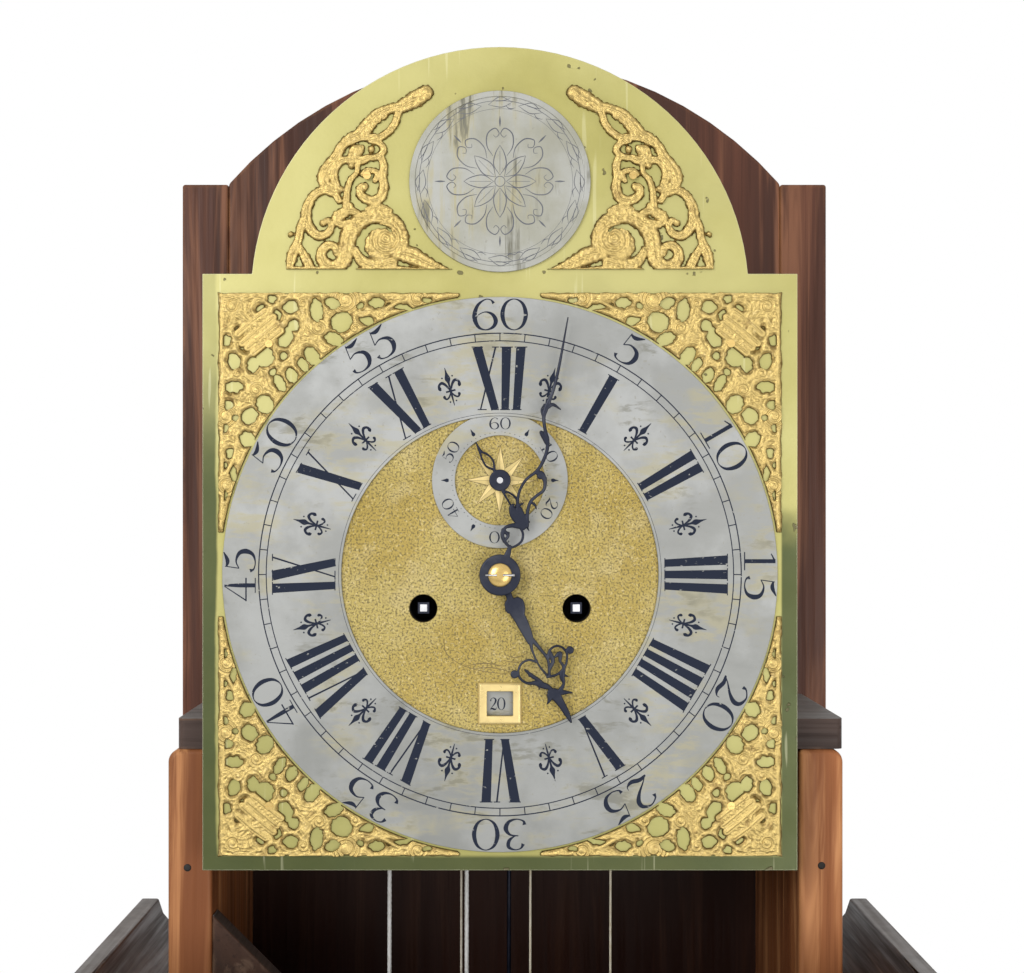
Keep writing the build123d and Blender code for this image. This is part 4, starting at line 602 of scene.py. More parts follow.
ARCH_STROKES = (
    (((38.1, 246.7), (43.5, 243.3), (49.9, 239.8)), (5.9, 6.4, 5.1)),
    (((49.9, 239.8), (55.6, 238.6), (62.7, 235.6), (68.4, 229.9), (72.3, 225.4)),
     (3.8, 3.8, 4.3, 4.6, 4.3)),
    (((51.8, 236.9), (54.4, 229.9), (58.8, 225.4), (63.9, 222.8)), (2.8, 3.1, 2.8, 3.3)),
    (((58.8, 234.7), (63.9, 231.1), (67.8, 226.0)), (1.8, 2.0, 2.0)),
    (((72.3, 225.4), (76.7, 223.5), (81.2, 219.0), (83.8, 213.9), (87.6, 208.8), (90.1, 203.7),
      (89.5, 199.8), (84.4, 197.3)),
     (3.8, 3.8, 3.8, 4.3, 5.1, 5.4, 4.3, 3.1)),
    (((63.9, 224.1), (71.6, 223.2), (77.4, 220.7)), (2.6, 2.3, 2.0)),
    (((65.9, 222.2), (61.4, 220.7), (59.5, 217.1), (62.7, 213.9), (67.8, 213.2)),
     (2.6, 2.6, 2.6, 2.6, 2.3)),
    (((67.8, 213.2), (71.6, 212.0), (75.4, 213.9), (74.8, 217.7), (71.0, 218.4)),
     (3.1, 3.6, 3.6, 3.1, 2.6)),
    (((61.4, 214.5), (59.5, 209.4), (60.1, 204.3), (59.5, 198.5), (61.4, 192.8), (66.5, 191.5),
      (71.0, 194.1), (71.9, 197.9), (69.1, 199.2)),
     (3.1, 3.3, 3.3, 3.8, 4.1, 3.8, 3.3, 2.6, 2.3)),
    (((63.9, 201.7), (62.7, 205.6), (67.8, 206.9), (70.3, 204.9)), (2.0, 2.3, 2.3, 2.0)),
    (((72.6, 211.3), (73.5, 205.6), (76.7, 201.7), (78.3, 195.4), (78.6, 188.3)),
     (2.3, 2.0, 2.3, 2.6, 3.3)),
    (((75.4, 212.0), (80.6, 212.0), (84.4, 208.1), (85.0, 203.0), (83.1, 198.5)),
     (2.6, 3.1, 3.3, 3.3, 2.6)),
    (((82.5, 191.5), (85.0, 195.1), (90.8, 196.6), (95.9, 193.4), (99.1, 186.4), (98.5, 179.4),
      (94.0, 173.9), (88.9, 174.3), (86.3, 178.1), (88.2, 181.3), (91.0, 180.0)),
     (2.6, 3.1, 3.3, 3.6, 4.1, 4.3, 3.8, 3.3, 2.8, 2.3, 2.0)),
    (((77.4, 188.3), (79.9, 185.1), (83.8, 182.8), (81.8, 179.4), (76.7, 180.0)),
     (3.8, 4.3, 3.8, 3.1, 3.1)),
    (((98.5, 185.1), (101.7, 178.7), (103.3, 171.1), (106.1, 164.0), (107.7, 157.0)),
     (3.3, 3.3, 3.3, 4.3, 2.8)),
    (((102.3, 167.2), (99.7, 162.1), (97.2, 157.0)), (2.6, 3.8, 3.8)),
    (((51.2, 164.4), (49.9, 171.1), (52.7, 178.7), (58.8, 182.8), (65.9, 183.6), (72.9, 180.0),
      (77.4, 173.6), (78.6, 167.2), (79.9, 160.8), (85.0, 157.3), (90.1, 159.6), (91.4, 164.7),
      (88.2, 168.5), (84.4, 167.5), (83.8, 164.4)),
     (4.3, 5.1, 5.6, 5.9, 6.1, 6.6, 6.9, 6.4, 5.9, 5.6, 4.9, 4.1, 3.6, 3.1, 2.6)),
    (((25.3, 155.0), (30.7, 156.8), (37.1, 159.3), (44.8, 163.1), (51.2, 164.9)),
     (1.5, 3.1, 5.1, 6.9, 6.4)),
    (((25.6, 154.5), (43.5, 155.1), (58.8, 156.0), (72.9, 155.5)), (1.0, 3.1, 3.8, 1.8)),
    (((56.3, 186.4), (61.4, 188.3), (67.8, 187.0)), (2.0, 2.3, 2.0)),
    (((55.6, 159.6), (62.7, 158.0), (70.3, 160.2), (74.2, 166.0)), (5.1, 5.6, 4.6, 3.1)),
    (((92.1, 156.0), (99.7, 155.7), (107.7, 156.0)), (2.6, 3.3, 2.8)),
    (((72.9, 185.1), (77.4, 186.4), (83.8, 184.5)), (2.3, 3.8, 2.6)),
)
ARCH_BEADS = (
    (61.1, 168.8, 8.4), (38.1, 246.7, 3.1), (65.9, 217.7, 2.0), (72.6, 217.3, 3.1), (69.3, 198.2, 2.0),
    (90.5, 180.0, 2.0), (84.4, 165.3, 1.8), (76.1, 209.4, 1.8), (81.8, 197.3, 2.0), (89.5, 204.9, 2.0),
    (107.1, 174.3, 1.5), (62.7, 157.0, 1.3),
)


class Relief:
    """A height field over X and Z that becomes a closed casting.

    The field sd is the distance to the outline, negative inside, and height is the relief above the
    casting's edge, from 0 to 1.
    """

    def __init__(self, left: float, right: float, bottom: float, top: float, step: float) -> None:
        self.step = step
        self.x, self.z = np.meshgrid(np.arange(left, right + step, step),
                                     np.arange(bottom, top + step, step), indexing="ij")
        self.sd = np.full(self.x.shape, 99.0)
        self.height = np.zeros(self.x.shape)

    def add(self, sd, half: float, rise: float) -> None:
        """Join a shape to the casting, rounded over half its width."""
        self.sd = np.minimum(self.sd, sd)
        inside = np.clip(-sd / half, 0, 1)
        self.height = np.maximum(self.height, rise * np.sqrt(1 - (1 - inside) ** 2))

    def stroke(self, points, widths, rise: float = 1.0, ridge: float = 0.0) -> None:
        """Join a rounded bar.

        Args:
            points: its centre line.
            widths: its width at each point.
            rise: its height.
            ridge: depth of the grooves along it.
        """
        for (ax, az), (bx, bz), first, last in zip(points, points[1:], widths, widths[1:]):
            run, lift = bx - ax, bz - az
            share = ((self.x - ax) * run + (self.z - az) * lift) / (run * run + lift * lift + 1e-9)
            share = np.clip(share, 0, 1)
            reach = np.hypot(self.x - ax - share * run, self.z - az - share * lift)
            half = (first + share * (last - first)) / 2
            sd = reach - half
            inside = np.clip(-sd / half, 0, 1)
            raised = rise * np.sqrt(1 - (1 - inside) ** 2)
            if ridge:
                raised = raised * (1 - ridge * (0.5 - 0.5 * np.cos(reach / half * math.tau * 1.5)))
            self.sd = np.minimum(self.sd, sd)
            self.height = np.where(sd < 0, np.maximum(self.height, raised), self.height)

    def dome(self, x: float, z: float, radius: float, rise: float = 1.0) -> None:
        """Join a round bead."""
        self.add(np.hypot(self.x - x, self.z - z) - radius, radius, rise)

    def cut(self, x: float, z: float, wide: float, high: float, tilt: float, wobble=0.0) -> None:
        """Pierce an oval hole with half sizes wide and high, tilted by degrees."""
        angle = math.radians(tilt)
        u = (self.x - x) * math.cos(angle) + (self.z - z) * math.sin(angle)
        v = (self.z - z) * math.cos(angle) - (self.x - x) * math.sin(angle)
        reach = np.sqrt((u / wide) ** 2 + (v / high) ** 2)
        self.sd = np.maximum(self.sd, (1 - reach) * min(wide, high) * 0.9 + wobble)

    def rough(self, size: float, seed: int):
        """Smooth random waves between -1 and 1 with bumps of about that size."""
        rng = np.random.default_rng(seed)
        total = np.zeros(self.x.shape)
        for _ in range(9):
            angle, phase, scale = rng.uniform(0, math.tau), rng.uniform(0, math.tau), rng.uniform(0.7, 1.4)
            along = self.x * math.cos(angle) + self.z * math.sin(angle)
            total += np.sin(along * math.tau / (size * scale) + phase)
        return total / 4.2

    def casting(self, name: str, side: int, end: int, face: float, edge: float, rise: float, material: str,
                body: str):
        """Turn the field into a mesh.

        Args:
            name: the object's name.
            side, end: 1, or -1 to mirror across X or Z of the dial.
            face: Y of its back, in millimetres.
            edge: thickness at the outline.
            rise: thickness added where the height is 1.
            material: the material's name.
            body: the body that carries it.

        Returns:
            The object.
        """
        inside = self.sd < 0
        cells = inside[:-1, :-1] | inside[1:, :-1] | inside[:-1, 1:] | inside[1:, 1:]
        used = np.zeros(inside.shape, bool)
        for i, j in ((0, 0), (1, 0), (0, 1), (1, 1)):
            used[i:used.shape[0] - 1 + i, j:used.shape[1] - 1 + j] |= cells
        slope_x, slope_z = np.gradient(self.sd, self.step)
        steep = slope_x ** 2 + slope_z ** 2 + 1e-6
        move = np.where(inside, 0, np.clip(self.sd / steep, 0, 1.4 * self.step))
        x, z = self.x - move * slope_x, self.z - move * slope_z
        raised = np.where(inside, self.height, 0)
        number = np.full(used.shape, -1)
        number[used] = np.arange(used.sum())
        count = int(used.sum())
        front = face - edge - rise * raised[used]
        verts = np.stack([(HAND_X + side * x[used]) * MM, front * MM, (HAND_Z + end * z[used]) * MM], 1)
        i, j = np.nonzero(cells)
        quads = np.stack([number[i, j], number[i + 1, j], number[i + 1, j + 1], number[i, j + 1]], 1)
        if side * end < 0:
            quads = quads[:, ::-1]
        edges = np.concatenate([np.stack([quads[:, k], quads[:, (k + 1) % 4]], 1) for k in range(4)])
        code = edges[:, 0].astype(np.int64) * (count + 1) + edges[:, 1]
        back = edges[:, 1].astype(np.int64) * (count + 1) + edges[:, 0]
        rim = edges[~np.isin(code, back)]
        rims = np.unique(rim)
        lower = {int(v): count + k for k, v in enumerate(rims)}
        behind = verts[rims].copy()
        behind[:, 1] = face * MM
        walls = [(int(b), int(a), lower[int(a)], lower[int(b)]) for a, b in rim]
        faces = list(map(tuple, quads)) + walls
        obj = mesh_object(name, np.concatenate([verts, behind]), faces, material, body)
        values = np.concatenate([raised[used], np.zeros(len(rims))])
        values = values[:len(obj.data.vertices)]
        layer = obj.data.attributes.new("relief", "FLOAT", "POINT")
        layer.data.foreach_set("value", values.astype(np.float32))
        return obj


@dataclass
class Spandrels:
    """The pierced, gilt castings in the corners and beside the boss.

    Args:
        step: grid of the relief, in millimetres.
        edge: thickness at the outline.
        rise: height of the relief above that.
    """

    step: float = 0.4
    edge: float = 0.8
    rise: float = 1.7

    def corner(self) -> Relief:
        """One corner casting, as a height field."""
        field = Relief(18, 146, 18, 146, self.step)
        outer = np.maximum(field.x, field.z) - 144.2 + 0.35 * field.rough(7, 3)
        ring = 143.3 - np.hypot(field.x, field.z)
        lower = 21.5 - np.minimum(field.x, field.z)
        field.sd = np.maximum(np.maximum(outer, ring), lower)
        for k, hole in enumerate(CORNER_HOLES):
            x, z, wide, high, tilt = hole
            field.cut(x, z, wide * 1.16 + 0.15, high * 1.16 + 0.15, tilt, 0.3 * field.rough(3.2, 20 + k % 5))
        depth = np.clip(-field.sd, 0, 3)
        web = np.sqrt(np.clip(1 - (1 - depth / 3) ** 2, 0, 1))
        ripple = 0.5 + 0.5 * np.cos(-field.sd * math.tau / 1.45 + 1.2 * field.rough(9, 5))
        field.height = web * (0.52 + 0.22 * ripple + 0.16 * field.rough(4.5, 8) + 0.07 * field.rough(1.7, 9))
        pierced = field.sd.copy()
        for bar in CORNER_BARS[:4]:
            field.stroke(bar, [4.6] * len(bar), 0.95, 0.3)
        for bar in CORNER_BARS[4:]:
            field.stroke(bar, [2.4] * len(bar), 0.72, 0.25)
        for x, z, radius in CORNER_BEADS:
            turn = np.arctan2(field.z - z, field.x - x)
            reach = np.hypot(field.x - x, field.z - z)
            curl = 0.5 + 0.5 * np.cos((reach / 1.9 - turn / math.tau) * math.tau)
            near = np.clip((radius * 2.6 - reach) / (radius * 0.9), 0, 1)
            curled = field.height * (1 - near) + near * (0.5 + 0.4 * curl)
            field.height = np.where(near > 0, curled, field.height)
            field.dome(x, z, radius, 1.0)
        for k in range(12):
            x, z = 136.7 + 4.4 * math.cos(k * math.tau / 12), 137.3 + 4.4 * math.sin(k * math.tau / 12)
            field.dome(x, z, 1.3, 0.9)
        for k in range(9):
            x, z = 118.5 + 1.35 * (k - 4) * 1.15, 122.5 - 1.25 * (k - 4) * 1.15
            field.dome(x, z, 0.85, 1.0)
        field.sd = np.maximum(np.minimum(field.sd, pierced + 0.6), np.maximum(outer, ring))
        return field

    def arch(self) -> Relief:
        """One casting of the arch, as a height field."""
        field = Relief(14, 118, 150, 252, self.step)
        grooves = 0.1 * field.rough(2.2, 31)
        for points, widths in ARCH_STROKES:
            rows = smooth_line([(x, z, 1.32 * w + 0.4) for (x, z), w in zip(points, widths)], 5)
            field.stroke(rows[:, :2], rows[:, 2], 0.9, 0.42)
        reach = np.hypot(field.x - 61.5, field.z - 170)
        turn = np.arctan2(field.z - 170, field.x - 61.5)
        scales = 0.5 + 0.5 * np.cos(turn * 34) * np.cos(reach * math.tau / 3.2)
        body = np.clip(1 - abs(reach - 13.5) / 4.6, 0, 1)
        field.height = field.height * (1 - 0.32 * body * scales)
        for x, z, radius in ARCH_BEADS:
            field.dome(x, z, radius, 1.0)
        eye = np.hypot(field.x - 58.4, field.z - 171.8)
        curl = 0.5 + 0.5 * np.cos((eye / 2.6 + turn / math.tau) * math.tau)
        field.height = np.where(eye < 8.4, 0.62 + 0.36 * curl, field.height)
        field.height = np.clip(field.height + grooves + 0.08 * field.rough(5, 33), 0.05, 1)
        field.sd = field.sd + 0.3 * field.rough(3.5, 35) + 0.16 * field.rough(1.9, 36)
        foot = 156.3 - field.z
        field.sd = np.maximum(field.sd, foot)
        return field

    def build(self) -> None:
        """Make all six castings."""
        corner, arch = self.corner(), self.arch()
        for side in (-1, 1):
            for end in (-1, 1):
                name = f"spandrel_{'right' if side > 0 else 'left'}_{'top' if end > 0 else 'bottom'}"
                obj = corner.casting(name, side, end, DIAL_FRONT, self.edge, self.rise, "gilt_brass", "case")
                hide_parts("spandrels")
            name = f"spandrel_arch_{'right' if side > 0 else 'left'}"
            obj = arch.casting(name, side, 1, DIAL_FRONT, self.edge, self.rise, "gilt_brass", "case")


# Centre lines and widths of the hands, in millimetres from the middle of the dial.
MINUTE_STROKES = (
    (((3.19, 8.3), (5.09, 14.26)), (3.8, 2.03)),
    (((5.09, 14.26), (1.92, 17.81), (1.29, 21.36), (3.19, 24.4), (6.36, 25.66), (9.91, 24.14),
      (11.68, 20.97), (10.92, 17.17), (7.88, 14.77), (5.09, 14.26)),
     (1.27, 1.77, 2.03, 1.52, 1.01, 1.14, 1.27, 1.27, 1.14, 1.27)),
    (((1.54, 22.88), (4.08, 20.34), (3.06, 17.81)), (1.77, 1.77, 1.01)),
    (((3.19, 24.4), (6.36, 25.16), (10.79, 24.78), (14.59, 26.93)), (1.52, 2.28, 2.53, 1.27)),
    (((11.68, 24.4), (9.91, 27.94), (7.37, 31.11), (5.85, 34.53), (6.99, 35.8)),
     (3.29, 5.58, 5.07, 2.28, 1.01)),
    (((12.69, 25.16), (11.43, 29.85), (9.91, 33.65)), (3.29, 3.04, 2.53)),
    (((9.91, 27.94), (8.89, 35.55), (9.91, 42.52), (13.33, 48.47), (18.4, 52.53), (21.56, 57.09),
      (23.85, 63.17), (24.1, 68.5), (22.96, 73.57), (22.2, 79.9), (23.46, 84.72), (26.38, 91.94),
      (28.15, 97.9), (30.43, 108.03), (34.49, 130.59)),
     (2.53, 1.77, 1.39, 1.52, 1.65, 1.77, 1.77, 2.03, 1.77, 1.9, 2.53, 1.77, 1.65, 1.39, 0.63)),
    (((13.71, 24.9), (13.96, 31.75), (15.48, 37.07), (18.78, 40.36), (22.2, 43.15), (22.83, 47.59),
      (21.06, 51.01), (19.28, 51.77)),
     (2.03, 1.77, 1.65, 1.65, 1.65, 2.03, 3.29, 2.53)),
    (((20.3, 50.12), (23.34, 49.23)), (3.04, 1.01)),
    (((24.1, 85.22), (26.89, 86.49), (30.69, 84.08)), (2.28, 1.77, 0.63)),
    (((23.85, 67.23), (21.31, 71.79), (20.55, 72.81)), (2.53, 2.28, 0.76)),
    (((22.2, 79.9), (21.06, 83.7), (22.45, 86.75)), (1.52, 1.01, 0.51)),
    (((15.48, 37.07), (17.76, 35.55), (18.4, 33.65)), (1.27, 1.27, 0.63)),
    (((9.91, 35.55), (11.93, 36.56)), (1.52, 0.63)),
)
HOUR_STROKES = (
    (((3.21, -7.71), (4.86, -11.27), (5.88, -15.35)), (4.33, 3.31, 5.6)),
    (((5.12, -17.26), (8.94, -14.07), (10.97, -16.62), (10.72, -19.8)), (5.09, 5.6, 3.82, 3.82)),
    (((5.88, -15.35), (9.95, -21.71), (13.39, -28.71), (15.55, -33.8)), (7.13, 6.36, 5.35, 3.82)),
    (((15.55, -33.8), (16.57, -38.89), (19.75, -45.89), (23.57, -50.73)), (2.29, 1.27, 1.02, 1.27)),
    (((16.57, -33.16), (20.39, -37.62), (24.46, -43.35), (25.23, -51.62)), (2.29, 1.78, 1.53, 1.53)),
    (((18.48, -44.36), (14.66, -43.35), (10.97, -45.26), (9.32, -49.07), (10.46, -52.89), (13.77, -55.18),
      (17.85, -55.06)),
     (1.15, 1.15, 1.15, 1.15, 1.27, 1.4, 2.04)),
    (((9.32, -50.73), (7.41, -50.73)), (1.27, 1.27)),
    (((24.46, -42.07), (25.48, -38.26), (28.66, -36.22), (32.1, -37.24), (34.14, -40.55), (33.76, -45.26),
      (31.85, -48.44), (28.66, -50.98), (24.21, -52.0)),
     (1.78, 1.27, 1.15, 1.15, 1.15, 1.15, 1.27, 1.27, 1.53)),
    (((33.63, -39.02), (35.66, -38.26)), (1.27, 1.27)),
    (((12.75, -48.44), (16.57, -51.62), (20.39, -54.17), (23.57, -57.35)), (1.02, 2.04, 1.78, 2.04)),
    (((14.03, -49.07), (15.3, -51.24)), (1.02, 1.78)),
    (((25.48, -40.16), (27.01, -43.98), (25.48, -48.44)), (2.8, 2.04, 1.02)),
    (((28.03, -41.82), (30.57, -40.16), (30.57, -43.98)), (1.02, 2.55, 1.53)),
    (((30.57, -43.98), (32.48, -47.17), (31.59, -51.62), (32.48, -55.44), (30.57, -59.26)),
     (1.27, 1.78, 2.8, 1.53, 2.55)),
    (((17.85, -55.06), (21.92, -56.33), (25.23, -57.6), (27.01, -61.42)), (2.29, 3.31, 2.29, 4.33)),
    (((20.39, -54.17), (19.88, -58.37)), (1.53, 0.64)),
    (((25.48, -59.89), (30.57, -59.89), (36.68, -59.89)), (2.8, 3.05, 0.64)),
    (((25.48, -61.42), (25.23, -63.71), (23.95, -66.0)), (3.31, 2.04, 0.51)),
    (((27.77, -60.53), (31.59, -66.26), (34.14, -70.71), (36.17, -74.91)), (5.6, 3.82, 3.05, 1.15)),
    (((32.48, -50.98), (34.65, -51.75)), (1.53, 0.64)),
)
SECONDS_STROKES = (
    (((-1.5, 51.91), (-3.16, 53.69)), (1.79, 1.53)),
    (((-3.16, 53.69), (-6.99, 55.35), (-9.16, 59.18), (-10.43, 63.01), (-12.22, 67.47)),
     (1.28, 1.02, 1.02, 1.15, 0.64)),
    (((-2.78, 54.07), (-3.54, 58.29), (-6.35, 61.35), (-9.54, 63.01), (-12.22, 67.47)),
     (1.15, 1.02, 1.02, 1.15, 0.64)),
    (((1.56, 42.59), (3.22, 39.4), (6.41, 34.55), (8.45, 35.57), (8.33, 38.76), (5.14, 41.7),
      (1.95, 42.59)),
     (1.53, 1.02, 1.02, 1.15, 1.15, 1.02, 1.28)),
)

# Strokes of the figures in a box one high: x, y and width of each point.
DIGITS = {
    "0": (((0.30, 1.0, 0.03), (0.10, 0.86, 0.09), (0.02, 0.5, 0.14), (0.10, 0.14, 0.09), (0.30, 0.0, 0.03),
           (0.50, 0.14, 0.09), (0.58, 0.5, 0.14), (0.50, 0.86, 0.09), (0.30, 1.0, 0.03)),),
    "1": (((0.30, 1.0, 0.13), (0.30, 0.0, 0.13)), ((0.12, 0.86, 0.03), (0.28, 0.97, 0.06)),
          ((0.08, 0.0, 0.035), (0.52, 0.0, 0.035))),
    "2": (((0.07, 0.72, 0.12), (0.09, 0.86, 0.05), (0.26, 0.99, 0.05), (0.45, 0.9, 0.12), (0.48, 0.7, 0.15),
           (0.36, 0.46, 0.09), (0.16, 0.22, 0.04), (0.03, 0.03, 0.03)),
          ((0.03, 0.05, 0.06), (0.2, 0.1, 0.13), (0.4, 0.03, 0.13), (0.54, 0.1, 0.04), (0.56, 0.22, 0.02))),
    "3": (((0.08, 0.8, 0.12), (0.14, 0.94, 0.05), (0.28, 0.99, 0.04), (0.43, 0.9, 0.11), (0.42, 0.7, 0.11),
           (0.3, 0.56, 0.04), (0.2, 0.53, 0.03)),
          ((0.2, 0.54, 0.03), (0.4, 0.5, 0.07), (0.5, 0.3, 0.15), (0.42, 0.08, 0.1), (0.24, 0.0, 0.04),
           (0.08, 0.06, 0.06), (0.05, 0.18, 0.13))),
    "4": (((0.36, 1.0, 0.03), (0.02, 0.3, 0.04)), ((0.0, 0.3, 0.045), (0.56, 0.3, 0.045)),
          ((0.38, 1.0, 0.06), (0.38, 0.5, 0.13), (0.38, 0.0, 0.13)), ((0.2, 0.0, 0.03), (0.56, 0.0, 0.03))),
    "5": (((0.16, 0.98, 0.03), (0.11, 0.52, 0.03)),
          ((0.15, 0.93, 0.05), (0.3, 0.9, 0.13), (0.5, 1.02, 0.03)),
          ((0.11, 0.53, 0.03), (0.28, 0.62, 0.05), (0.47, 0.52, 0.12), (0.52, 0.3, 0.16), (0.44, 0.08, 0.1),
           (0.26, 0.0, 0.04), (0.09, 0.05, 0.05), (0.05, 0.17, 0.12))),
    "6": (((0.49, 0.86, 0.1), (0.42, 0.97, 0.04), (0.28, 0.98, 0.04), (0.1, 0.78, 0.1), (0.03, 0.42, 0.15),
           (0.12, 0.1, 0.1), (0.3, 0.0, 0.04), (0.48, 0.1, 0.1), (0.54, 0.3, 0.14), (0.46, 0.5, 0.1),
           (0.3, 0.58, 0.04), (0.14, 0.5, 0.03), (0.07, 0.38, 0.03)),),
}
FLEUR = (
    ((0, 109.5, 0.2), (0, 106.5, 1.2), (0, 103.6, 2.9), (0, 101.2, 1.1), (0, 97, 1.3), (0, 93, 0.8),
     (0, 89.6, 0.3)),
    ((0.4, 97.6, 0.5), (1.6, 100.5, 1.2), (3.4, 102.2, 1.5), (5.1, 101.3, 1.2), (5.2, 99.5, 1.7),
     (4.4, 99.2, 1.4)),
    ((0.4, 96.2, 0.5), (1.5, 94.4, 0.9), (3.0, 93.6, 0.9), (4.0, 94.8, 1.3), (3.4, 95.4, 0.9)),
    ((0, 97.2, 0.9), (2.5, 97.2, 0.9)),
)
FLEUR_DOTS = ((-2.7, 104.6), (2.7, 104.6), (-1.6, 91.8), (1.6, 91.8))
LETTERS = {
    "I": (6.6, (((0, 0), (0, 1), 4.3),), ((-2.9, 2.9),)),
    "V": (12.6, (((-3.6, 1), (0.4, 0), 4.5), ((4.7, 1), (0.9, 0), 0.8)), ((-6.2, -0.8), (3.2, 6.2))),
    "X": (12.6, (((-3.8, 1), (3.8, 0), 4.5), ((4.6, 1), (-4.6, 0), 0.8)), ((-6.3, -1.1), (2.9, 6.1))),
}
BOSS_CURL = ((3.6, 13, 0.2), (6.6, 18, 0.5), (6.4, 24.2, 0.6), (2.6, 27.2, 0.5), (0.4, 24.6, 0.4),
             (2.0, 22.6, 0.3), (3.4, 23.8, 0.2))
BOSS_PETAL = ((0, 3.2, 0.2), (3.2, 8.5, 0.5), (2.2, 14.5, 0.45), (0, 18.5, 0.2))
BOSS_WREATH = ((-6, 39.2, 0, 43.2, 6.5, 40.6), (-6, 39.2, 1, 38.0, 6.5, 40.6),
               (-2, 41.0, 2, 41.4, 5.4, 42.6), (3, 38.6, 5.0, 37.2, 8, 37.6))
FLOURISH = (((-29, -33, 0.2), (-27, -41, 0.35), (-18, -47, 0.3), (-6, -50, 0.3), (4, -51, 0.2)),
            ((-18, -47, 0.2), (-8, -45.5, 0.5), (2, -47, 0.25)),
            ((-14, -48.4, 0.2), (-4, -47.8, 0.5), (6, -50, 0.2)),
            ((2, -41, 0.2), (8, -42.6, 0.4), (15, -40, 0.2)),
            ((1, -44, 0.2), (8, -45, 0.4), (16, -43.5, 0.2)))
HOURS = ("XII", "I", "II", "III", "IIII", "V", "VI", "VII", "VIII", "IX", "X", "XI")


def smooth_line(points, share: int = 6):
    """A curve through points, sampled between them.

    Args:
        points: tuples of any length.
        share: samples from one point to the next.

    Returns:
        An array with one row for each sample.
    """
    given = np.array(points, float)
    if len(given) < 3:
        return given
    closed = np.allclose(given[0], given[-1])
    before = given[-2] if closed else 2 * given[0] - given[1]
    after = given[1] if closed else 2 * given[-1] - given[-2]
    padded = np.vstack([before, given, after])
    rows = []
    for k in range(1, len(padded) - 2):
        a, b, c, d = padded[k - 1:k + 3]
        for t in np.linspace(0, 1, share, endpoint=False):
            rows.append(0.5 * (2 * b + (c - a) * t + (2 * a - 5 * b + 4 * c - d) * t * t
                               + (3 * b - a - 3 * c + d) * t ** 3))
    rows.append(padded[-2])
    return np.array(rows)


class Engraving:
    """Flat marks on one plane of the dial, gathered into one mesh."""

    def __init__(self, name: str, depth: float, material: str = "numeral_wax", body: str = "case") -> None:
        self.name, self.depth, self.material, self.body = name, depth, material, body
        self.verts, self.faces, self.starts = [], [], []

    def ribbon(self, points, place=lambda u, v: (u, v)) -> None:
        """Add a stroke.

        Args:
            points: rows of x, y and width.
            place: turns x and y into a place on the dial.
        """
        line = smooth_line(points)
        run = np.gradient(line[:, :2], axis=0)
        run /= np.linalg.norm(run, axis=1, keepdims=True) + 1e-9
        side = np.stack([-run[:, 1], run[:, 0]], 1) * np.abs(line[:, 2:3]) / 2
        base = len(self.verts)
        self.starts.append(base)
        for left, right in zip(line[:, :2] + side, line[:, :2] - side):
            self.verts += [place(*left), place(*right)]
        self.faces += [(base + 2 * k, base + 2 * k + 1, base + 2 * k + 3, base + 2 * k + 2)
                       for k in range(len(line) - 1)]

    def circle(self, across: float, above: float, radius: float, width: float, sides: int = 180) -> None:
        """Add a thin circle."""
        base = len(self.verts)
        for k in range(sides):
            x, z = polar(1, 360 * k / sides)
            self.verts += [(across + x * (radius - width / 2), above + z * (radius - width / 2)),
                           (across + x * (radius + width / 2), above + z * (radius + width / 2))]
        self.faces += [(base + 2 * k, base + 2 * k + 1, base + (2 * k + 3) % (2 * sides),
                        base + (2 * k + 2) % (2 * sides)) for k in range(sides)]

    def dot(self, across: float, above: float, radius: float) -> None:
        """Add a dot."""
        base = len(self.verts)
        for k in range(8):
            angle = k * math.pi / 4
            self.verts.append((across + radius * math.cos(angle), above + radius * math.sin(angle)))
        self.faces.append(tuple(range(base, base + 8)))

    def radial(self, degrees: float, across: float = 0, above: float = 0, taper: float = 1.0):
        """A function that places a figure drawn upright so that its top points outward."""
        angle = math.radians(degrees)
        cos, sin = math.cos(angle), math.sin(angle)

        def place(u: float, v: float) -> tuple[float, float]:
            """Place one point."""
            u = u * (taper + (1 - taper) * v / 100)
            return across + u * cos + v * sin, above - u * sin + v * cos
        return place

    def figure(self, text: str, degrees: float, radius: float, height: float, across=0, above=0, gap=0.08,
               wide=1.35) -> None:
        """Add a number whose foot stands on a circle, its digits drawn wider than their strokes say."""
        place = self.radial(degrees, across, above)
        widths = [0.56 if digit == "1" else 0.6 for digit in text]
        left = -(sum(widths) + gap * (len(text) - 1)) / 2
        for digit, width in zip(text, widths):
            for line in DIGITS[digit]:
                rows = [((left + x) * height * wide, radius + y * height, w * height) for x, y, w in line]
                self.ribbon(rows, place)
            left += width + gap

    def build(self):
        """Make the mesh, with strokes that cross at slightly different depths."""
        depths = np.full(len(self.verts), self.depth)
        for k, start in enumerate(self.starts):
            depths[start:] = self.depth - 0.004 * (k % 9)
        verts = [((HAND_X + x) * MM, depth * MM, (HAND_Z + z) * MM)
                 for (x, z), depth in zip(self.verts, depths)]
        return mesh_object(self.name, verts, self.faces, self.material, self.body, False)


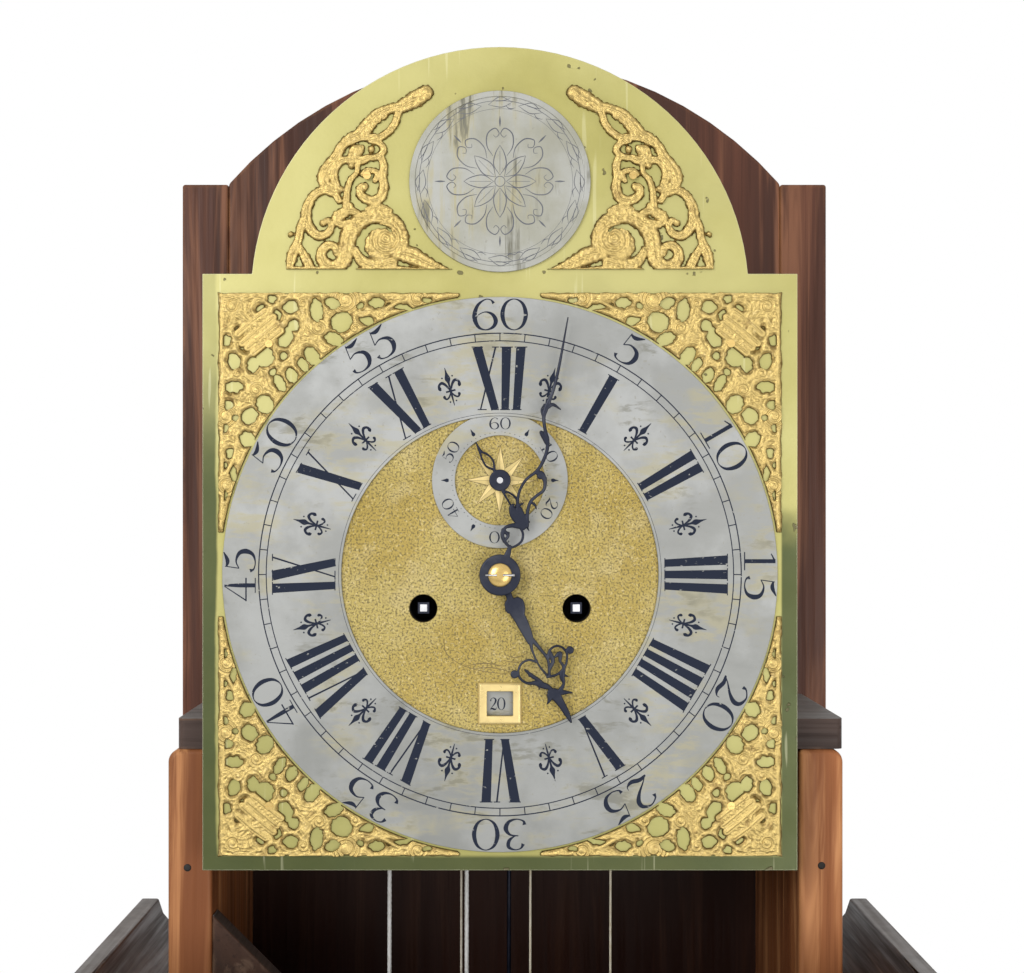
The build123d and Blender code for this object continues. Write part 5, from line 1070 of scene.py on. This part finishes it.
@dataclass
class Rings:
    """The silvered chapter ring, seconds ring and boss, with what is engraved on them.

    Args:
        inner, outer: radii of the numerals.
        track_inner, track_outer: radii of the minute track.
        figures, figure_high: radius of the foot of the minutes' figures, and their height.
        date_high, date_foot: height of the date's figures, and the place of their foot.
    """

    inner: float = 84.4
    outer: float = 116.4
    track_inner: float = 119.6
    track_outer: float = 123.5
    figures: float = 125.2
    figure_high: float = 15.8
    date_high: float = 6.2
    date_foot: float = -69.6

    def chapters(self) -> None:
        """Hours, half hours, minutes and their figures."""
        marks = Engraving("chapter_marks", RING_FRONT - 0.03)
        for radius, width in ((self.track_inner, 0.5), (self.track_outer, 0.6), (82.6, 0.2)):
            marks.circle(0, 0, radius, width)
        for minute in range(60):
            place = marks.radial(6 * minute)
            marks.ribbon([(0, self.track_inner, 0.5), (0, self.track_outer, 0.5)], place)
        for hour, text in enumerate(HOURS):
            place = marks.radial(30 * hour, taper=0.25)
            wide = sum(LETTERS[letter][0] for letter in text)
            left = -wide / 2
            for letter in text:
                pitch, lines, serifs = LETTERS[letter]
                middle = left + pitch / 2
                for (u0, v0), (u1, v1), width in lines:
                    rows = [(middle + u0, self.inner + v0 * (self.outer - self.inner), width),
                            (middle + u1, self.inner + v1 * (self.outer - self.inner), width)]
                    marks.ribbon(rows, place)
                for u0, u1 in serifs:
                    marks.ribbon([(middle + u0, self.outer, 0.5), (middle + u1, self.outer, 0.5)], place)
                for u0, u1 in (serifs if letter != "V" else ((-2.2, 3.0),)):
                    marks.ribbon([(middle + u0, self.inner, 0.5), (middle + u1, self.inner, 0.5)], place)
                left += pitch
            marks.figure(str(5 * hour or 60), 30 * hour, self.figures, self.figure_high)
            turned = marks.radial(30 * hour + 15)
            for side in (-1, 1):
                for line in FLEUR:
                    marks.ribbon([(side * x, y, w) for x, y, w in line], turned)
            for u, v in FLEUR_DOTS:
                marks.dot(*turned(u, v), 0.45)
        marks.build()

    def seconds(self) -> None:
        """The figures, drops and dots of the seconds."""
        marks = Engraving("seconds_marks", RING_FRONT - 0.03)
        for k in range(60):
            x, z = polar(24.6, 6 * k)
            if k % 10:
                marks.dot(x, SECONDS_ABOVE + z, 0.22)
            if k % 10 == 5:
                place = marks.radial(6 * k, 0, SECONDS_ABOVE)
                marks.ribbon([(0, 26.2, 1.2), (0, 27.2, 1.9), (0, 28.4, 1.0), (0, 30.0, 0.2)], place)
        for text in ("60", "10", "20", "30", "40", "50"):
            marks.figure(text, int(text) * 6 % 360, 26.2, 5.9, 0, SECONDS_ABOVE, 0.08, 1.4)
        marks.build()
        # painted light and shade: the flat star's alternate facets get the lighter star_brass and the darker
        # star_shade, as if lit and shaded
        facets = (Engraving("star", DIAL_FRONT - 0.12, "star_brass"),
                  Engraving("star_shade", DIAL_FRONT - 0.12, "star_shade"))
        outline = Engraving("star_lines", DIAL_FRONT - 0.15, "line_brass")
        for k in range(16):
            long, short = (18.5, 6.6) if k % 2 == 0 else (6.6, 18.5)
            if k % 4 >= 2:
                long, short = min(long, 16.5), min(short, 16.5)
            a, b = polar(long, 22.5 * k), polar(short, 22.5 * (k + 1))
            star = facets[k % 2]
            base = len(star.verts)
            star.verts += [(0, SECONDS_ABOVE), (a[0], SECONDS_ABOVE + a[1]), (b[0], SECONDS_ABOVE + b[1])]
            star.faces.append((base, base + 1, base + 2))
            outline.ribbon([(a[0], SECONDS_ABOVE + a[1], 0.22), (b[0], SECONDS_ABOVE + b[1], 0.22)])
            outline.ribbon([(0, SECONDS_ABOVE, 0.14), (a[0], SECONDS_ABOVE + a[1], 0.14)])
        facets[0].build()
        facets[1].build()
        outline.build()

    def boss(self) -> None:
        """The wreath round the boss and a plain engraved rosette with scrolls in its middle."""
        marks = Engraving("boss_marks", RING_FRONT - 0.03, "boss_line")
        marks.circle(0, BOSS_ABOVE, 41.3, 0.28)
        marks.circle(0, BOSS_ABOVE, 37.2, 0.16)
        for k in range(16):
            place = marks.radial(22.5 * k, 0, BOSS_ABOVE)
            lean = 1 if k < 8 else -1
            for u0, v0, u1, v1, u2, v2 in BOSS_WREATH:
                marks.ribbon([(lean * u0, v0, 0.15), (lean * u1, v1, 0.42), (lean * u2, v2, 0.12)], place)
        for k in range(8):
            place = marks.radial(45 * k, 0, BOSS_ABOVE)
            for side in (-1, 1):
                marks.ribbon([(side * u, v, w) for u, v, w in BOSS_PETAL], place)
            marks.ribbon([(0, 4.5, 0.2), (0, 15.5, 0.2)], place)
            for side in (-1, 1):
                marks.ribbon([(side * u, v, w) for u, v, w in BOSS_CURL], place)
            marks.ribbon([(0, 28.0, 0.2), (0, 30.6, 0.9), (0, 33.4, 0.15)], place)
        marks.circle(0, BOSS_ABOVE, 2.6, 0.4, 40)
        marks.build()

    def ground(self) -> None:
        """The faint flourish above the date and the figure on the date ring."""
        marks = Engraving("flourish", DIAL_FRONT - 0.1, "line_brass")
        for line in FLOURISH:
            marks.ribbon(line)
        marks.build()
        date = Engraving("date_figures", -87.63, body="date_ring")
        for day in range(1, 32):
            text = str(day)
            turn = 180 + (day - 20) * 360 / 31
            if set(text) <= set(DIGITS):
                place = date.radial(turn + 180)
                left = -0.32 * len(text) * self.date_high
                for digit in text:
                    for line in DIGITS[digit]:
                        rows = [(left + x * self.date_high - 1.2, y * self.date_high + self.date_foot,
                                 w * self.date_high) for x, y, w in line]
                        date.ribbon(rows, place)
                    left += 4.0
        date.build()

    def build(self) -> None:
        """Ease the rings and engrave them."""
        for node, width in (("chapter_ring", 0.3), ("seconds_ring", 0.3), ("arch_boss", 0.3)):
            obj = softened(node, width, "case")
            if node == "arch_boss":
                obj.data.materials.clear()
                obj.data.materials.append(bpy.data.materials["boss_silver"])
        self.chapters()
        self.seconds()
        self.boss()
        self.ground()


@dataclass
class Hands:
    """The blued, pierced hands and the brass collet in the middle.

    Args:
        step: grid of their relief, in millimetres.
        minute_back, hour_back, seconds_back: Y of the back of each hand.
        thick: thickness of the two large hands.
        bore: radius of the hole in their middle.
    """

    step: float = 0.2
    minute_back: float = -99.6
    hour_back: float = -95.4
    seconds_back: float = -93.3
    thick: float = 1.4
    bore: float = 3.65

    def hand(self, name: str, node: str, body: str, strokes, rounds, box, back: float, thick: float,
             bore: float) -> None:
        """Make one hand from its strokes.

        Args:
            name, node, body: names of the piece, its CAD node and its body.
            strokes: centre lines with widths.
            rounds: discs as x, z and radius.
            box: left, right, bottom and top of the field.
            back: Y of its back.
            thick: thickness.
            bore: radius of the hole in its middle.
        """
        field = Relief(*box, self.step)
        for points, widths in strokes:
            rows = smooth_line([(x, z, w) for (x, z), w in zip(points, widths)], 4)
            field.stroke(rows[:, :2], rows[:, 2], 1)
        for x, z, radius in rounds:
            field.sd = np.minimum(field.sd, np.hypot(field.x - x, field.z - z) - radius)
        middle = rounds[0]
        field.sd = np.maximum(field.sd, bore - np.hypot(field.x - middle[0], field.z - middle[1]))
        field.height = np.sqrt(np.clip(1 - (1 - np.clip(-field.sd / 0.9, 0, 1)) ** 2, 0, 1))
        obj = field.casting(name, 1, 1, back, thick * 0.65, thick * 0.35, "blued_steel", body)
        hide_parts(node)

    def collet(self) -> None:
        """The domed brass collet and its taper pin."""
        rows = [(6.1, -101.0), (6.1, -101.35), (5.8, -101.8), (4.9, -102.35), (3.7, -102.75), (2.3, -102.97),
                (1.7, -103.0)]
        spin("collet", rows, 48, (HAND_X, HAND_Z), "brass", "minute", True)
        verts = []
        for x, radius in ((-7.4, 0.35), (-7.3, 0.5), (7.3, 0.7), (7.5, 0.5)):
            for j in range(10):
                angle = j * math.tau / 10
                verts.append(((HAND_X + x) * MM, (-103.75 + radius * math.cos(angle)) * MM,
                              (HAND_Z + radius * math.sin(angle)) * MM))
        faces = band_faces(4, 10) + [tuple(range(10))[::-1], tuple(range(30, 40))]
        mesh_object("taper_pin", verts, faces, "steel", "minute")

    def build(self) -> None:
        """Make all the hands."""
        self.hand("minute_hand_pierced", "minute_hand", "minute", MINUTE_STROKES, ((0, 0, 10.5),),
                  (-12, 38, -12, 134), self.minute_back, self.thick, self.bore)
        self.hand("hour_hand_pierced", "hour_hand", "hour", HOUR_STROKES,
                  ((0, 0, 9.8), (7.4, -50.7, 2.1), (35.7, -38.3, 2.0)), (-12, 40, -77, 12),
                  self.hour_back, self.thick, self.bore)
        self.hand("seconds_hand_pierced", "seconds_hand", "escape", SECONDS_STROKES,
                  ((0, SECONDS_ABOVE, 5.5),), (-14, 12, SECONDS_ABOVE - 16, SECONDS_ABOVE + 23),
                  self.seconds_back, 0.9, 1.6)
        self.collet()


def spin(name: str, rows, sides: int, at, material: str, body: str, closed: bool = False):
    """A turned piece round an axis along Y.

    Args:
        name: its name.
        rows: radius and Y of its profile, in millimetres.
        sides: facets round it.
        at: X and Z of the axis.
        material, body: its finish and its body.
        closed: close the last row with a cap.

    Returns:
        The object.
    """
    verts = []
    for radius, depth in rows:
        for j in range(sides):
            angle = j * math.tau / sides
            verts.append(((at[0] + radius * math.cos(angle)) * MM, depth * MM,
                          (at[1] + radius * math.sin(angle)) * MM))
    faces = band_faces(len(rows), sides)
    faces.append(tuple(range(sides))[::-1])
    if closed:
        faces.append(tuple(range(sides * (len(rows) - 1), sides * len(rows))))
    return mesh_object(name, verts, faces, material, body)


def rope(name: str, path, radius: float, strands: int, pitch: float, material: str, body: str = ""):
    """A twisted rope along a path.

    Args:
        name: its name.
        path: points in metres, close together.
        radius: to the outside of the strands, in metres.
        strands: how many strands.
        pitch: length of one turn, in metres.
        material: its finish.
        body: the body that carries it, or none.

    Returns:
        The object.
    """
    path = np.array(path, float)
    run = np.gradient(path, axis=0)
    run /= np.linalg.norm(run, axis=1, keepdims=True)
    along = np.concatenate([[0], np.cumsum(np.linalg.norm(np.diff(path, axis=0), axis=1))])
    depth = np.array([0.0, 1.0, 0.0])
    sides = strands * 5
    verts = []
    for point, heading, reach in zip(path, run, along):
        across = np.cross(heading, depth)
        for j in range(sides):
            angle = j * math.tau / sides
            lobe = 0.86 + 0.14 * abs(math.cos(strands * angle / 2))
            turned = angle + reach / pitch * math.tau
            verts.append(point + radius * lobe * (math.cos(turned) * across + math.sin(turned) * depth))
    faces = band_faces(len(path), sides)
    faces += [tuple(range(sides))[::-1], tuple(range(sides * (len(path) - 1), sides * len(path)))]
    return mesh_object(name, verts, faces, material, body)


@dataclass
class Lines:
    """The weight lines and the thin repeat cord.

    Args:
        seat_top: height on which the knots rest, in metres.
        pulley: height of the pulleys' axles.
    """

    seat_top: float = 1.689
    pulley: float = 1.430

    def line(self, side: str, left: float, right: float, depth: float, radius: float, pitch: float,
             material: str) -> None:
        """One line: down from its barrel, round the pulley and up to its knot.

        Args:
            side: going or strike.
            left, right: X of its two falls, in metres.
            depth: Y of the falls.
            radius: radius of the line.
            pitch: length of one turn of its strands.
            material: its finish.
        """
        top = 1.7486 - 2.4 * radius
        reach = (right - left) / 2
        path = [(left, depth, z) for z in np.arange(top, self.pulley, -0.0011)]
        path += [(left + reach - reach * math.cos(a), depth, self.pulley - reach * math.sin(a))
                 for a in np.linspace(0, math.pi, 60)[1:-1]]
        path += [(right, depth, z) for z in np.arange(self.pulley, self.seat_top + 0.002, 0.0011)]
        obj = rope(f"line_{side}", path, radius, 3, pitch, material)
        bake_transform(obj)
        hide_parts(f"weight_line_{side}")
        turns = []
        for k in range(70):
            angle = k * math.tau * 2.2 / 70
            lift = self.seat_top + 2.2 * radius + 0.7 * radius * math.sin(angle * 1.5)
            reach = 1.5 * radius
            turns.append((right + reach * math.cos(angle), depth + reach * math.sin(angle), lift))
        rope(f"knot_{side}", turns, radius, 3, pitch, material, "case")

    def repeat(self) -> None:
        """The thin cord that hangs behind the left line, with a knot at its end."""
        x, y = -0.025, 0.031
        path = [(x, y, z) for z in np.arange(1.709, 1.3415, -0.0008)]
        obj = rope("repeat_cord_twisted", path, 0.00075, 2, 0.004, "cream_cord", "case")
        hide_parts("repeat_cord")
        ball = []
        for k in range(60):
            angle = k * math.tau * 2.4 / 60
            ball.append((x + 0.0013 * math.cos(angle), y + 0.0013 * math.sin(angle),
                         1.341 + 0.0011 * math.sin(angle * 1.6)))
        knot = rope("repeat_knot", ball, 0.00075, 2, 0.004, "cream_cord", "case")

    def build(self) -> None:
        """Make both lines and the cord."""
        self.line("going", 0.0141, 0.0588, -0.00085, 0.00075, 0.0045, "gut")
        self.line("strike", -0.0645, -0.0214, -0.00035, 0.0013, 0.0085, "white_cord")
        self.repeat()


@dataclass
class Case:
    """The wooden case, its edges worn, with its nails and door.

    Args:
        eased: width of the worn edge of each node, in millimetres.
        nails: X and Z of the nail in the front edge of each side, in millimetres.
    """

    eased: tuple = (("backboard", 1.6), ("trunk_side_left", 2.6), ("trunk_side_right", 2.6),
                    ("seatboard", 2.2), ("trunk_frame", 1.0), ("throat_mouldings", 1.2),
                    ("corner_gusset", 1.4), ("base_boards", 1.0), ("base_mouldings", 1.2), ("plinth", 1.6))
    nails: tuple = (("left", -167.6, 1610.6), ("right", 166.5, 1611.7))

    def build(self) -> None:
        """Ease every board and add the nails."""
        for node, width in self.eased:
            obj = softened(node, width, "case", 3)
        door = softened("trunk_door", 1.6, "door", 3)
        for name, x, z in self.nails:
            rows = [(2.0, -62.0), (1.9, -62.25), (1.2, -62.4)]
            spin(f"nail_{name}", rows, 16, (x, z), "dark_iron_and_shade", "case", True)


@dataclass
class Dial:
    """The dial plate, the date's frame, the date ring and the dial's fixings."""

    def build(self) -> None:
        """Ease the plate, the date's frame, the date ring and the fixings."""
        plate = softened("dial_plate", 0.35, "case")
        date = softened("date_frame", 1.1, "case", 1)
        date.data.materials.clear()
        date.data.materials.append(bpy.data.materials["star_brass"])
        ring = softened("date_ring", 0.15, "date_ring")
        fixings = softened("dial_fixings", 0.15, "case")


@dataclass
class Movement:
    """The movement, pendulum and weights, whose edges are eased.

    Args:
        eased: node, body and width of the eased edge, in millimetres.
        winding, winding_z: X and Z of the winding arbors, in millimetres.
        rod_half, rod_foot: what lies this near the pendulum's middle, in metres, and reaches above this
            height, is its rod.
    """

    eased: tuple = (("front_plate", "case", 0.4), ("back_plate", "case", 0.4), ("pillars", "case", 0.3),
                    ("seat_bolts", "case", 0.3), ("back_cock", "case", 0.4), ("bell", "case", 0.3),
                    ("hinge_leaves_fixed", "case", 0.2), ("hinge_leaves_moving", "door", 0.2),
                    ("door_lock", "door", 0.4), ("lock_bolt", "lock_bolt", 0.3),
                    ("pendulum", "pendulum", 0.3), ("pulley_going", "pulley_going", 0.2),
                    ("pulley_strike", "pulley_strike", 0.2),
                    ("weight_going", "weight_going", 0.4), ("weight_strike", "weight_strike", 0.4),
                    ("hammer", "hammer", 0.3), ("rack", "rack", 0.15), ("rack_hook", "rack_hook", 0.2),
                    ("lifting_piece", "lifting_piece", 0.2))
    winding: tuple = (("going", 36.3), ("strike", -42.3))
    winding_z: float = 1748.6
    rod_half: float = 0.0045
    rod_foot: float = 1.0

    def rod(self, pendulum) -> None:
        """Give the rod its dark iron; the bob and nut stay brass."""
        pendulum.data.materials.append(bpy.data.materials["blued_steel"])
        low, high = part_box("pendulum")
        middle = (low[0] + high[0]) / 2
        for face in pendulum.data.polygons:
            points = [pendulum.data.vertices[k].co for k in face.vertices]
            near = all(abs(point.x - middle) < self.rod_half for point in points)
            if near and max(point.z for point in points) > self.rod_foot:
                face.material_index = 1

    def build(self) -> None:
        """Ease every piece."""
        for node, body, width in self.eased:
            obj = softened(node, width, body)
            if node == "pendulum":
                self.rod(obj)
        for name, x in self.winding:
            # painted shade: a near-black disc and tube line each winding hole, for the shade behind the dial
            rows = [(3.3, -61.9), (7.1, -62.0), (7.1, -75.0), (7.0, -88.0)]
            spin(f"winding_shade_{name}", rows, 40, (x, self.winding_z), "dark_iron_and_shade", "case")
            # painted highlight: the square's end face gets bright steel, and its sides and rim get dark
            # blued steel, for the bright spot on the arbor's end
            verts = [((x + i * half) * MM, depth * MM, (self.winding_z + k * half) * MM)
                     for half, depth in ((2.87, -62.0), (2.87, -85.64), (1.8, -85.7))
                     for i, k in ((-1, -1), (1, -1), (1, 1), (-1, 1))]
            faces = band_faces(3, 4) + [(8, 9, 10, 11)]
            square = mesh_object(f"winding_square_{name}", verts, faces, "blued_steel", f"barrel_{name}",
                                 False)
            square.data.materials.append(bpy.data.materials["painted_highlight_steel"])
            square.data.polygons[-1].material_index = 1


@dataclass
class Studio:
    """Floor, world, lamps and the camera at the photograph's angle.

    Args:
        key, fill: place, target, size and power of each lamp.
        eye: place of the camera.
        lens: its focal length in millimetres.
        shift: its shift across and up, as shares of the picture's width.
    """

    key: tuple = ((-1.5, -2.9, 2.6), (0, -0.05, 1.7), 1.6, 50)
    fill: tuple = ((1.3, -2.9, 1.25), (0, -0.05, 1.65), 1.4, 26)
    eye: tuple = (-0.0045, -1.090, 1.798)
    lens: float = 68.6
    shift: tuple = (0.01465, 0.0249)

    def world(self) -> None:
        """Soft, even light, with a white background that metal and glass show too."""
        world = bpy.data.worlds.new("studio")
        bpy.context.scene.world = world
        world.use_nodes = True
        tree = world.node_tree
        tree.nodes.clear()
        new = tree.nodes.new
        path, output = new("ShaderNodeLightPath"), new("ShaderNodeOutputWorld")
        mix = new("ShaderNodeMixShader")
        white, light = new("ShaderNodeBackground"), new("ShaderNodeBackground")
        white.inputs["Color"].default_value = (1, 1, 1, 1)
        white.inputs["Strength"].default_value = 1.0
        light.inputs["Color"].default_value = (1.0, 0.995, 0.985, 1)
        light.inputs["Strength"].default_value = 0.62
        seen = path.outputs["Is Camera Ray"]
        for ray in ("Is Glossy Ray", "Is Transmission Ray"):
            larger = new("ShaderNodeMath")
            larger.operation = "MAXIMUM"
            tree.links.new(seen, larger.inputs[0])
            tree.links.new(path.outputs[ray], larger.inputs[1])
            seen = larger.outputs[0]
        tree.links.new(seen, mix.inputs[0])
        tree.links.new(light.outputs[0], mix.inputs[1])
        tree.links.new(white.outputs[0], mix.inputs[2])
        tree.links.new(mix.outputs[0], output.inputs["Surface"])

    def lamp(self, name: str, place, target, size: float, power: float) -> None:
        """One soft square lamp."""
        data = bpy.data.lights.new(name, "AREA")
        data.shape, data.size, data.energy = "SQUARE", size, power
        obj = bpy.data.objects.new(name, data)
        bpy.context.scene.collection.objects.link(obj)
        obj.location = place
        obj.rotation_euler = (Vector(target) - Vector(place)).to_track_quat("-Z", "Y").to_euler()

    def floor(self) -> None:
        """A plain pale floor."""
        verts = [(x * FLOOR_HALF, y * FLOOR_HALF, FLOOR_Z) for x, y in ((-1, -1), (1, -1), (1, 1), (-1, 1))]
        n = Nodes("floor")
        n.finish((0.95, 0.95, 0.95), 0.9, 0)
        mesh_object("floor", verts, [(0, 1, 2, 3)], "floor", "", False)

    def camera(self) -> None:
        """The camera, level with the top of the dial."""
        data = bpy.data.cameras.new("camera")
        data.sensor_width, data.lens = 36.0, self.lens
        data.shift_x, data.shift_y = self.shift
        data.clip_start = 0.05
        obj = bpy.data.objects.new("camera", data)
        bpy.context.scene.collection.objects.link(obj)
        obj.location = self.eye
        obj.rotation_euler = (math.radians(90), 0, 0)
        bpy.context.scene.camera = obj

    def build(self) -> None:
        """Set up the whole studio."""
        bpy.context.scene.view_settings.view_transform = "Standard"
        self.world()
        self.floor()
        self.lamp("key", *self.key)
        self.lamp("fill", *self.fill)
        self.camera()


def finish_nodes() -> None:
    """Give every CAD node the material of its slot."""
    for node, obj in frame["nodes"].items():
        obj.data.materials.clear()
        obj.data.materials.append(bpy.data.materials[SLOTS[node]])


def main() -> None:
    """Build the looks of the whole clock."""
    logging.basicConfig(level=logging.INFO, format="%(name)s %(message)s")
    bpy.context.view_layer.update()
    for finish in FINISHES + EXTRA_FINISHES:
        finish.make()
    finish_nodes()
    for part in (Dial(), Rings(), Spandrels(), Hands(), Lines(), Case(), Movement()):
        log.info("building %s", type(part).__name__)
        part.build()
    Studio().build()


if __name__ == "__main__":
    main()
